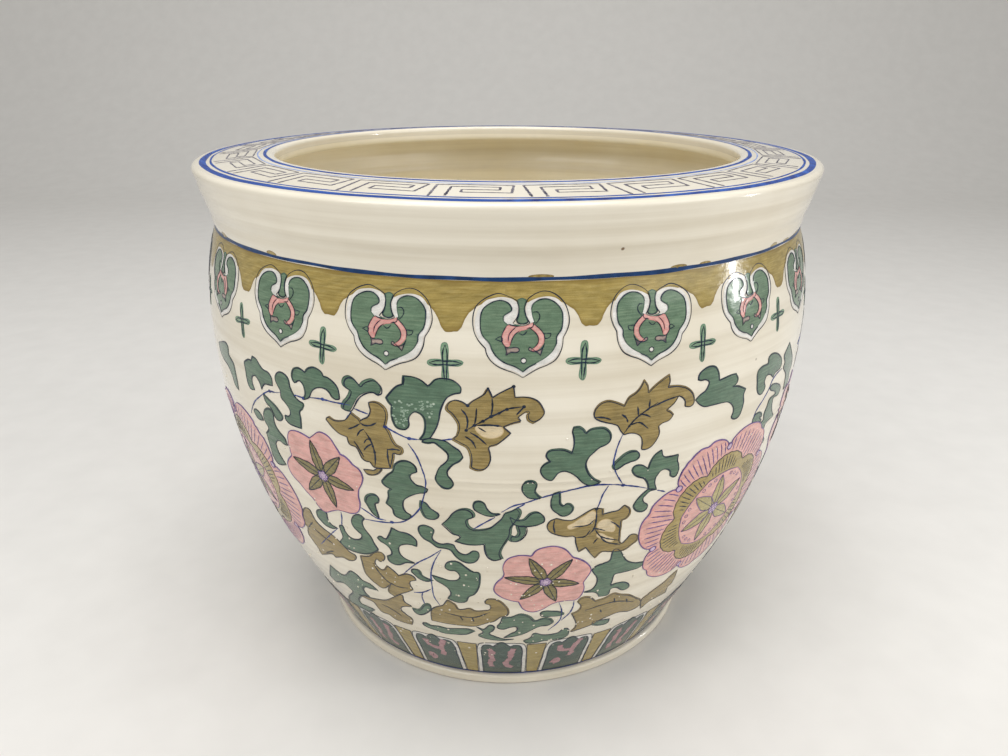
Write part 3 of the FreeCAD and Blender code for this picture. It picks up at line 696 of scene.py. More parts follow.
def glaze(name, colours, roughness, lines):
    """Glossy glaze with cloudy tone, darker horizontal streaks that are partly throwing lines and partly painted
    reflection, and dark pinholes.
    """
    plain, shade = shown(colours)
    surface = Surface(name, roughness, coat=0.3)
    place = surface.place()
    clouds = surface.noise(place, (14, 14, 14), 4.0)
    thrown = surface.noise(place, (2.5, 2.5, lines), 4.0, 0.6)
    tone = surface.ramp(clouds, (0.3, shade), (0.62, plain))
    tone = surface.times(tone, surface.ramp(thrown, (0.3, STREAK_AND_REFLECTION_TONE), (0.6, FULL)))
    cells = surface.node("ShaderNodeTexVoronoi", {"Vector": place, "Scale": PINHOLE_SCALE}, feature="F1")
    hole = surface.ramp(cells["Distance"], (0.035, FULL), (0.06, NONE))
    rare = surface.ramp(cells["Color"], (0.8, NONE), (0.83, FULL))
    surface.bump(surface.noise(place, (420, 420, 420)), 0.12, 0.12 * MM)
    return surface.colour(surface.mix(surface.times(hole, rare), tone, PINHOLE_COLOUR))


def fired_clay(name, colours):
    """Bare fired clay, matt and sandy."""
    plain, shade = shown(colours)
    surface = Surface(name, 0.8)
    grain = surface.noise(surface.place(), (700, 700, 700), 4.0, 0.7)
    surface.bump(grain, 0.5, 0.2 * MM)
    return surface.colour(surface.ramp(grain, (0.35, shade), (0.65, plain)))


WHITE_GLAZE = glaze("white_glaze", "241,234,217 231,222,202", 0.14, 150)
TAN_GLAZE = glaze("tan_glaze", "252,245,226 245,235,208", 0.28, 120)
BISCUIT = fired_clay("biscuit", "214,202,180 188,172,146")
CLAY = fired_clay("clay", "226,216,196 206,193,168")
OLIVE = enamel("olive", "146,124,62 176,154,86 204,184,124 136,114,56")
LEAF_OLIVE = enamel("leaf_olive", "124,103,52 158,136,78 190,168,112 98,78,40")
STAR_OLIVE = enamel("star_olive", "112,102,58 140,128,76 170,156,104 88,80,46")
PALE_STAR = enamel("pale_star", "156,144,88 186,172,112 210,196,144 130,118,70")
# Pale olive of the paler patches on two olive leaves
PALE_OLIVE = enamel("pale_olive", "208,184,136 230,210,172 240,226,198 196,168,114")
GREEN = enamel("green", "86,114,90 112,138,112 142,164,134 54,84,74")
LEAF_GREEN = enamel("leaf_green", "62,92,74 90,121,97 124,150,121 28,58,55")
# Green of the foot panels, painted darker than the hearts' green as shade low on the pot
SHADED_PANEL_GREEN = enamel("shaded_panel_green", "34,58,52 52,80,70 80,108,92 22,42,44")
PALE_GREEN = enamel("pale_green", "110,146,118 138,168,138 168,192,160 92,128,106")
WHITE = enamel("white", "234,230,222 243,240,234 249,247,243 226,219,210")
PINK = enamel("pink", "226,156,150 237,180,171 246,206,197 214,140,137")
ROSE = enamel("rose", "228,160,152 240,184,174 247,204,195 208,134,130")
# Mauve pink of the panels' marks, painted darker as shade low on the pot
SHADED_MAUVE = enamel("shaded_mauve", "158,114,120 186,138,144 206,162,164 132,94,104")
LILAC = enamel("lilac", "194,164,200 214,188,214 230,210,226 160,130,180")
DUSK_PINK = enamel("dusk_pink", "150,132,124 176,156,146 196,176,164 96,88,92")
# Pale green of the painted highlight specks on one leaf
GLINT = enamel("glint", "176,194,172 204,216,196 226,232,216 150,172,152")
INK = line_enamel("ink", "12,25,42 34,50,74")
VIOLET = line_enamel("violet", "84,62,118 128,104,158")
COBALT = line_enamel("cobalt", "24,42,104 54,80,152")
RIM_BLUE = line_enamel("rim_blue", "12,44,118 44,98,186", RIM_LINE)
NECK_BLUE = line_enamel("neck_blue", "14,46,84 34,76,134")
FRET_LINE = line_enamel("fret_line", "58,56,74 142,138,146", RIM_LINE)
HAIR_BLUE = line_enamel("hair_blue", "110,134,190 170,186,220", RIM_LINE)


# Glaze over the thrown shape

def glaze_outside():
    close = [run_at_level(np.arange(level - SEAM_BORDER, level + SEAM_BORDER, SEAM_ROW)) for level in SEAM_LEVELS]
    bends = np.arange(COLLAR_RUN, GLAZE_END, BEND_ROW)
    runs = np.unique(np.concatenate((np.arange(0, COLLAR_RUN, ROW), *close, bends, [GLAZE_END])))
    runs = runs[np.concatenate(([True], np.diff(runs) > LEAST_ROW))]
    back = np.append(np.arange(GLAZE_END, 0, -BACK_ROW), 0.0)
    rows = [(run, 0.0) for run in runs] + [(run, -GLAZE_DEPTH) for run in back]
    points = np.vstack([on_pot(around(COLUMNS), np.full(COLUMNS, run), height) for run, height in rows])
    faces = turned_faces(np.ones(len(rows)))
    new_piece("glaze_outside", points, faces, [WHITE_GLAZE], ("outside_glaze", "rim_glaze"))


def glaze_inside():
    """Inside of the pot from under the lip to the floor, with throwing rings."""
    lip_face = PROFILE[PROFILE_RUN >= GLAZE_END]
    levels = np.arange(NECK_LEVEL - LEVEL_ROW, FOOT_TOP, -LEVEL_ROW)
    out, up = outwards(run_at_level(levels))
    wall = np.column_stack((wall_radius(levels) - WALL_DEPTH * out, levels - WALL_DEPTH * up))
    kept = (wall[:, 1] > FLOOR_LEVEL + 2 * CAVITY_ROUND) & (wall[:, 1] < NECK_LEVEL - NECK_CLEARANCE)
    wall = np.vstack(([(NECK_INSIDE, NECK_LEVEL)], wall[kept]))
    corner = (wall[-1, 0] - math.tan(FLANK_ANGLE) * (wall[-1, 1] - FLOOR_LEVEL), FLOOR_LEVEL)
    shelf_round = fillet(lip_face[-1], (SHELF_RADIUS, UNDER_LIP), wall[0], SHELF_ROUND)
    floor_round = fillet(wall[-1], corner, (0.0, FLOOR_LEVEL), CAVITY_ROUND)
    face = resampled(np.vstack((lip_face, shelf_round, wall, floor_round, [[0.0, FLOOR_LEVEL]])), INSIDE_ROW)
    normal = -left_of(face, closed=False)
    ringed = np.where(face[:, 1] < UNDER_LIP - LIP_ROUND, rings(INSIDE_RINGS, face[:, 1]), 0.0) * MM
    ringed[-2:] = 0.0
    back = (face - normal * GLAZE_DEPTH)[::-INSIDE_BACK]
    back[0] = (0.0, FLOOR_LEVEL - GLAZE_DEPTH)
    face = face + normal * ringed[:, None]
    face[-1] = (0.0, FLOOR_LEVEL)
    profile = np.vstack((face, back))
    profile[:, 0] = np.where(profile[:, 0] < 1e-6, 0.0, profile[:, 0])
    faces = turned_faces(profile[:, 0])
    new_piece("glaze_inside", turned_points(profile), faces, [TAN_GLAZE], ("inside_glaze",))


def foot():
    """Foot ring with a glazed bead outside and bare clay where it stands."""
    inner, outer, shelf = WALL_FOOT_RADIUS - FOOT_WIDTH, WALL_FOOT_RADIUS + FOOT_BEAD, WALL_FOOT_RADIUS - FOOT_BEAD
    low_in, low_out, high_out, high_in = (inner, 0.0), (outer, 0.0), (outer, FOOT_TOP), (inner, FOOT_TOP)
    stand_in = fillet(high_in, low_in, low_out, FOOT_ROUND, 8)
    stand_out = fillet(low_in, low_out, high_out, FOOT_ROUND, 10)
    bead = fillet(low_out, high_out, high_in, FOOT_ROUND, 10)
    profile = np.vstack((stand_in, stand_out, bead, [(shelf, FOOT_TOP), high_in]))
    faces = turned_faces(profile[:, 0])
    starts = profile[[face[0] // COLUMNS for face in faces]]
    bare = (starts[:, 1] < FOOT_ROUND / 2) | (starts[:, 0] < shelf)
    new_piece(
        "foot_ring_turned", turned_points(profile), faces, [WHITE_GLAZE, BISCUIT], ("foot_ring",),
        kinds=bare.astype(np.int32),
    )


PIMPLE_COUNT, PIMPLE_SIDES = 420, 8
PIMPLE_LIFT = 0.2 * MM


def glaze_pimples():
    """Small raised spots in the glaze, most of them low on the belly."""
    paint = Paint("glaze_pimples", WHITE_GLAZE, "white_glaze")
    chance = random.Random(11)
    circle, sides = oval(PIMPLE_SIDES), range(PIMPLE_SIDES)
    beside = [(side + 1) % PIMPLE_SIDES for side in sides]
    faces = [(i, beside[i], PIMPLE_SIDES + beside[i], PIMPLE_SIDES + i) for i in sides]
    faces += [(PIMPLE_SIDES + i, PIMPLE_SIDES + beside[i], 2 * PIMPLE_SIDES) for i in sides]
    faces += [tuple(reversed(sides))]
    for number in range(PIMPLE_COUNT):
        low_front = number < PIMPLE_COUNT // 3
        level = (chance.uniform(30, 120) if low_front else chance.triangular(16, 235, 60)) * MM
        size = chance.uniform(0.35, 0.85) * MM
        angle = chance.gauss(-0.12, 0.3) if low_front else chance.uniform(-math.pi, math.pi)
        spot = placed(np.vstack((circle * size, circle * 0.6 * size, [[0.0, 0.0]])), angle, run_at_level(level))
        heights = (-SINK, PIMPLE_LIFT + 0.26 * size, PIMPLE_LIFT + 0.42 * size)
        heights = np.repeat(heights, (PIMPLE_SIDES, PIMPLE_SIDES, 1))
        paint.lay(spot[:, 0], spot[:, 1], heights, 1.0, faces)


glaze_outside()
glaze_inside()
foot()
glaze_pimples()

# Rings round the pot: piece, node, paint, edges on the rim's top or up the wall, lift, waver and seed;
# sizes in millimetres

RING_ANGLES, RING_ROWS = around(720), 3
WAVER_WAVES = (2, 5, 9, 17, 31)
RINGS = (
    ("rim_band_paint", "rim_outer_band", RIM_BLUE, run_at_radius, (174.9, 171.3), 0.12, 0.35, 21),
    ("rim_line_paint", "rim_outer_line", RIM_BLUE, run_at_radius, (169.5, 168.3), 0.12, 0.2, 23),
    ("rim_hairline_paint", "rim_hairline", HAIR_BLUE, run_at_radius, (144.7, 144.0), 0.12, 0.2, 25),
    ("rim_inner_paint", "rim_inner_line", RIM_BLUE, run_at_radius, (141.3, 139.4), 0.12, 0.2, 27),
    ("neck_line_paint", "neck_line", NECK_BLUE, run_at_level, (264.7, 266.3), 0.18, 0.3, 31),
    ("foot_line_paint", "foot_line", COBALT, run_at_level, (6.2, 7.8), 0.16, 0.25, 33),
)


def wavering(seed, size):
    """Slow waver of a line's edge round the pot."""
    chance = random.Random(seed)
    wave = np.zeros(len(RING_ANGLES))
    for count in WAVER_WAVES:
        wave += math.sin(chance.random() * TURN) * np.sin(count * RING_ANGLES + chance.random() * TURN)
    return size * wave / 2


def painted_rings():
    for name, node, material, run_at, (start, end), lift, waver, seed in RINGS:
        low = run_at(start * MM) + wavering(seed, waver * MM)
        high = run_at(end * MM) + wavering(seed + 1, waver * MM)
        Paint(name, material, "blue_enamel", node).band(RING_ANGLES, low, high, lift, RING_ROWS)


painted_rings()

# Key fret on the rim: one key as shares of its box, along and inwards

KEY_COUNT = 25
KEY_TURN = math.radians(-5.3)
KEY_WIDTH = 33.0 * MM
KEY_HEIGHT = 20.4 * MM
KEY_MIDDLE = 156.4 * MM
KEY_ALONG, KEY_INWARDS = (0.75, 0.12), (1.25, 0.12)
KEY_SHARES = (
    (-0.5, -0.5), (-0.5, 0.5), (0.5, 0.5), (0.5, -0.18), (-0.14, -0.18),
    (-0.14, 0.05), (0.35, 0.05), (0.35, 0.3), (-0.3, 0.3), (-0.3, -0.5),
)


def key_fret():
    paint = Paint("rim_fret_paint", FRET_LINE, "ink_enamel", "rim_key_fret")
    chance = random.Random(5)
    for key in range(KEY_COUNT):
        turn = KEY_TURN + key * TURN / KEY_COUNT
        corners = np.array(KEY_SHARES) * (KEY_WIDTH, KEY_HEIGHT)
        corners += np.array([[chance.gauss(0, 0.25), chance.gauss(0, 0.2)] for _ in corners]) * MM
        for start, end in zip(corners, corners[1:]):
            across, inwards = resampled(np.array((start, end)), STROKE_STEP).T
            out = KEY_MIDDLE - inwards
            path = np.column_stack((turn + np.arctan2(across, out), run_at_radius(np.hypot(across, out))))
            line = KEY_INWARDS if abs(start[0] - end[0]) < KEY_HEIGHT / 4 else KEY_ALONG
            paint.stroke(path, line, chance.random(), blunt=True)


key_fret()

# Hearts and crosses on the shoulder: the front heart's outlines in units of its own drawing, and crosses,
# lifts and lines (width, lift) in millimetres

HEART_COUNT = 19
HEART_TURN = math.radians(2.0)
HEART_RUN = float(run_at_level(242.4 * MM))
HEART_MIDDLE = np.array((783.0, 600.0))
HEART_UNIT = MM / 23.4
HEART_STEP = 14.0
HEART_DOT, HEART_DOT_SIZE = (805, 840), 27
HEART_DOT_LIFT, HEART_DOT_LINE = 0.34, (0.45, 0.38)
HEART_LINE = (0.42, 0.4)
CROSS_SHIFT = math.radians(-0.9)
CROSS_LEVEL, CROSS_TILT = 231.2, math.radians(-3.0)
CROSS_STEP, CROSS_LIFT, CROSS_LINE = 0.7, 0.1, (0.6, 0.24)
HEART_EDGE = (
    "735,245^ 650,205 560,180 470,205 400,245 340,300 310,380 305,470 320,560 360,640 432,722^ 445,780 490,850 "
    "560,905 640,940 720,970 800,1018^ 870,970 950,925 1040,890 1120,840 1170,760 1190,690 1195,622^ 1235,550 "
    "1260,460 1250,370 1215,280 1150,210 1080,170 1000,160 920,185 848,232^ 815,330 830,400 870,470^ 790,505 "
    "700,470^ 745,400 757,310"
)
HEART_WHITE = (
    "735,258^ 690,232 592,214 500,228 440,246 380,300 340,375 322,470 335,560 370,640 436,716^ 450,775 495,840 "
    "562,893 642,928 722,957 800,1004^ 868,958 948,913 1036,878 1112,830 1160,755 1180,690 1186,622^ 1224,550 "
    "1246,460 1236,380 1204,304 1141,236 1063,213 969,220 890,245 840,272^ 826,330 836,400 875,465^ 790,500 "
    "695,465^ 740,400 752,310"
)
HEART_FIELD = (
    "690,330 660,280 600,245 530,250 450,290 400,330 380,400 375,500 400,590 470,670 500,740 560,820 640,870 "
    "720,900 800,957^ 850,910 930,870 1030,810 1100,740 1130,660 1130,608^ 1180,530 1195,430 1180,340 1120,270 "
    "1050,235 970,240 905,275 882,320 890,400 908,456^ 850,480 790,492 730,480 665,490^ 640,470 610,440 610,400 "
    "650,370 692,345^"
)
HEART_STEM = "742,240^ 790,222 836,240^ 815,330 830,400 852,457^ 790,477 737,452^ 755,390 757,310"
HEART_CROWN = "655,477^ 702,492 757,500 828,492 898,461^ 908,492 843,526 765,541 710,526 663,510"
HEART_PALE_ARM = "642,490^ 605,555 589,618 605,673 639,706^ 672,690 652,641 658,586 686,539 720,506"
HEART_ARMS = (
    "722,502^ 775,512 830,500^ 781,541 718,581 688,641 676,682^ 655,641 660,588 688,541",
    "904,475^ 969,531 1008,594 1008,649 977,704 922,745 865,737^ 906,712 945,665 950,610 914,555 857,508^",
)
HEART_FEET = (
    "622,700^ 671,712 718,704 757,712 767,735 726,759 686,754 630,790^ 636,743",
    "1012,668^ 984,720 922,745 859,704 849,728 883,748 930,754 971,792^ 984,743",
)
HEART_SPURS = ("527,625^ 590,600 600,652^", "1008,570^ 1077,573^ 1060,612 1008,622^")
HEART_LINES = (
    "610,440 610,400 650,372 690,340 680,300 640,262 580,245 500,262 420,315 388,370 378,470 395,580 470,672",
    "880,335 890,290 960,242 1050,237 1130,280 1185,350 1195,440 1178,540 1130,610 1130,670 1090,752",
    "470,672 500,745 560,822 640,872 720,902 800,957", "800,957 850,912 930,872",
    "895,365 940,358 966,400 946,450 915,480",
    "737,250 757,310 752,400 735,452 790,478 850,455 830,400 815,330 832,250",
    "642,488 602,558 588,620 606,676 640,706", "765,541 716,581 686,641 674,684",
    "655,641 660,588 690,541 730,505", "857,508 914,555 950,612 944,667 904,714",
    "906,478 970,531 1010,596 1008,652", "755,560 797,585 840,545", "655,477 702,492 757,500",
    "835,520 900,500 898,461",
)
CROSS_ARMS = (
    "-1.0,8.6 0.9,8.8 1.7,6.6 1.5,1.5 1.4,-2.0 1.2,-7.6 0.2,-8.8 -1.4,-7.8 -1.5,-2.0 -1.6,2.0 -1.8,6.2",
    "-7.6,0.8 -5.0,1.6 -1.0,1.5 3.0,1.4 6.4,1.3 8.0,0.2 6.6,-1.3 3.0,-1.5 -2.0,-1.5 -6.2,-1.6 -7.9,-0.6",
)
CROSS_LINES = (
    "0.3,7.9 -0.8,5.0 -0.9,0.5 -0.7,-4.0 -0.5,-8.0", "0.3,7.9 1.0,4.6 0.9,0.5 0.6,-4.0 0.3,-8.2",
    "-7.0,-0.2 -4.0,0.8 0.0,0.7 4.0,0.7 7.2,-0.1", "-7.0,-0.2 -4.5,-0.9 0.0,-0.8 4.5,-0.9 7.2,-0.1",
)


def hearts():
    white = Paint("hearts_white", WHITE, "white_enamel", "heart_frames")
    green = Paint("hearts_green", GREEN, "green_enamel", "heart_fields")
    pink = Paint("hearts_pink", PINK, "pink_enamel", "heart_scrolls")
    rose = Paint("hearts_rose", ROSE, "pink_enamel")
    feet = Paint("hearts_feet", DUSK_PINK, "pink_enamel")
    ink = Paint("hearts_ink", INK, "ink_enamel")
    sprigs = Paint("crosses_green", PALE_GREEN, "green_enamel", "cross_sprigs")
    sprig_ink = Paint("crosses_ink", INK, "ink_enamel")
    # Paint, lift and outlines of each wash; line, shift of the seed and outlines of each ink edge
    washes = (
        (white, 0.16, (HEART_WHITE,)), (green, 0.24, (HEART_FIELD, HEART_STEM)),
        (pink, 0.34, (HEART_CROWN, HEART_PALE_ARM)), (rose, 0.33, HEART_ARMS), (feet, 0.32, HEART_FEET),
    )
    edges = (((0.42, 0.14), 0, (HEART_EDGE,)), ((0.38, 0.38), 90, HEART_FEET), ((0.4, 0.34), 130, HEART_SPURS))
    chance = random.Random(3)
    for heart in range(HEART_COUNT):
        angle = HEART_TURN + heart * TURN / HEART_COUNT
        front = heart == 0
        size = 1.0 if front else chance.uniform(0.97, 1.03)
        lean = 0.0 if front else chance.gauss(0, math.radians(1.5))
        run = HEART_RUN + (0.0 if front else chance.gauss(0.9, 0.4) * MM)
        flip = 1 if front or chance.random() < 0.6 else -1
        twist = size * rotation(lean) * (flip, 1)

        def laid(points):
            return placed((points - HEART_MIDDLE) * (HEART_UNIT, -HEART_UNIT) @ twist.T, angle, run)

        for paint, lift, texts in washes:
            for text in texts:
                paint.fill(laid(curve(text, True, HEART_STEP)), lift)
        for line, shift, texts in edges:
            for text in texts:
                ink.outline(laid(curve(text, True, HEART_STEP)), line, heart + shift)
        for number, text in enumerate(HEART_LINES):
            ink.stroke(laid(curve(text, False, HEART_STEP)), HEART_LINE, heart * 20 + number)
        dot = laid(HEART_DOT + oval(16, HEART_DOT_SIZE, HEART_DOT_SIZE))
        white.fill(dot, HEART_DOT_LIFT)
        ink.outline(dot, HEART_DOT_LINE, heart + 170)

        between = angle + TURN / HEART_COUNT / 2 + CROSS_SHIFT
        cross_run = float(run_at_level((CROSS_LEVEL if front else chance.gauss(232.0, 1.0)) * MM))
        spin = MM * rotation(CROSS_TILT if front else chance.gauss(0, math.radians(3)))
        for text in CROSS_ARMS:
            sprigs.fill(placed(curve(text, True, CROSS_STEP) @ spin.T, between, cross_run), CROSS_LIFT)
        for number, text in enumerate(CROSS_LINES):
            path = placed(curve(text, False, CROSS_STEP) @ spin.T, between, cross_run)
            sprig_ink.stroke(path, CROSS_LINE, heart * 9 + number)


hearts()

# Olive wash under the neck line, with a drip between each two hearts: across and level in millimetres

DRIP_EDGE = (
    (0.0, 245.2), (2.6, 245.6), (4.4, 247.4), (5.4, 250.0), (7.2, 252.8), (9.6, 254.6), (14.0, 257.4),
    (28.4, 256.0),
)
DRIP_REACH = 16
DRIP_COLUMNS = 96
WASH_WAVES, WASH_WAVER = (57, 131, 211), 0.16
WASH_TOP = run_at_level(264.6 * MM)
WASH_LIFT, WASH_ROWS = 0.08, 6
BLOT_COUNT, BLOT_SIDES = 18, 18
BLOT_RUN = run_at_level(266.6 * MM)
BLOT_LIFT = 0.03


def shoulder_wash():
    paint = Paint("shoulder_wash", OLIVE, "olive_enamel", "shoulder_band")
    across, levels = np.array(DRIP_EDGE).T
    chance = random.Random(8)
    pitch = TURN / HEART_COUNT
    angles = around(HEART_COUNT * DRIP_COLUMNS)
    place = (angles - HEART_TURN) / pitch
    cell = np.floor(place).astype(int) % HEART_COUNT
    offset = (place - np.floor(place) - 0.5) * pitch * NECK_RADIUS / MM
    drop = np.array([chance.gauss(0, 1.0) for _ in range(HEART_COUNT)])
    shift = np.array([chance.gauss(0, 0.8) for _ in range(HEART_COUNT)])
    fade = np.clip(1 - np.abs(offset) / DRIP_REACH, 0, 1)
    edge = np.interp(np.abs(offset - shift[cell] * fade), across, levels) + drop[cell] * fade
    for waves in WASH_WAVES:
        edge = edge + WASH_WAVER * np.sin(waves * angles + chance.random() * TURN)
    paint.band(angles, run_at_level(edge * MM), np.full(len(angles), WASH_TOP), WASH_LIFT, WASH_ROWS)
    for _ in range(BLOT_COUNT):
        blot = oval(BLOT_SIDES, chance.uniform(2.0, 6.5), chance.uniform(0.8, 1.8)) * MM
        paint.fill(placed(blot, chance.uniform(0, TURN), BLOT_RUN), BLOT_LIFT)


shoulder_wash()

# Panels above the foot: across and up from the middle of the foot line, in millimetres

PANEL_COUNT = 22
PANEL_TURN = math.radians(-0.9)
PANEL_RUN = float(run_at_level(7.8 * MM))
PANEL_HALF = 13.9
PANEL_FRAME = "-13.7,0^ 13.7,0^ 13.9,20 13.7,36 12.2,40.6 8.0,41.8 0,42.0 -8.0,41.8 -12.2,40.6 -13.7,36 -13.9,20"
PANEL_FIELD = (
    "-11.4,0.2^ 11.4,0.2^ 11.5,19 11.2,36 9.6,39.2 6.4,39.4 5.0,37.6 3.6,39.6 0,43.2 -3.6,39.8 -5.0,37.4 "
    "-6.6,39.4 -9.8,39.0 -11.3,36 -11.5,19"
)
PANEL_SQUIGGLES = (
    ("-6.4,34 -4.8,30 -5.4,25 -4.6,20 -6.0,15 -5.2,9", "6.4,35 5.0,29 4.4,22 1.8,14.6 2.6,10.6 5.6,8.4"),
    ("-5.6,35 -4.6,29 -1.0,26.6 2.4,27 4.4,33 6.6,39", "2.6,27 3.6,21 2.4,17",
     "-7.0,10 -5.4,14.6 -4.6,9.6 -6.6,9"),
)
SQUIGGLE = (3.9, 0.34)
STRIP_GAP, STRIP_HEIGHT, STRIP_POINTS = 0.5, 39.6, 16


def strip_edge():
    """Edge of the olive strip between two panels."""
    up = np.linspace(0, STRIP_HEIGHT, STRIP_POINTS)
    half = radius_at(PANEL_RUN + up * MM) / MM * math.pi / PANEL_COUNT - PANEL_HALF - STRIP_GAP
    right, left = np.column_stack((half, up)), np.column_stack((-half, up))[::-1]
    return resampled(np.vstack((right, left)), 1.0, True)


def upright(points, angle):
    """Drawing laid on the pot with its widths kept while the wall widens upwards."""
    run = PANEL_RUN + points[:, 1] * MM
    return np.column_stack((angle + points[:, 0] * MM / radius_at(run), run))


def panels():
    white = Paint("panels_white", WHITE, "white_enamel", "foot_panel_frames")
    # The panels' green and mauve are painted darker as shade low on the pot
    green = Paint("panels_green", SHADED_PANEL_GREEN, "green_enamel", "foot_panels")
    olive = Paint("panels_olive", OLIVE, "olive_enamel", "foot_panel_strips")
    pink = Paint("panels_pink", SHADED_MAUVE, "pink_enamel")
    ink = Paint("panels_ink", INK, "ink_enamel")
    # Paint, lift, ink line, shift of the seed, edge and turn of each shape
    shapes = (
        (white, 0.14, (0.4, 0.2), 0, curve(PANEL_FRAME, True, 1.2), 0.0),
        (green, 0.24, (0.6, 0.3), 40, curve(PANEL_FIELD, True, 1.0), 0.0),
        (olive, 0.12, (0.4, 0.18), 80, strip_edge(), math.pi / PANEL_COUNT),
    )
    chance = random.Random(17)
    for panel in range(PANEL_COUNT):
        angle = PANEL_TURN + panel * TURN / PANEL_COUNT
        for paint, lift, line, shift, edge, turn in shapes:
            outline = upright(edge, angle + turn)
            paint.fill(outline, lift)
            ink.outline(outline, line, panel + shift)
        for number, text in enumerate(PANEL_SQUIGGLES[panel % 2]):
            path = curve(text, False, 1.0) + (chance.gauss(0, 0.5), chance.gauss(0, 0.6))
            pink.stroke(upright(path, angle), SQUIGGLE, panel * 5 + number, blunt=True)


panels()

# Lotus scroll on the belly: outlines read off the photo in tenths of a pixel from a window's corner.
# In a window's text, a / parts one line from the next.

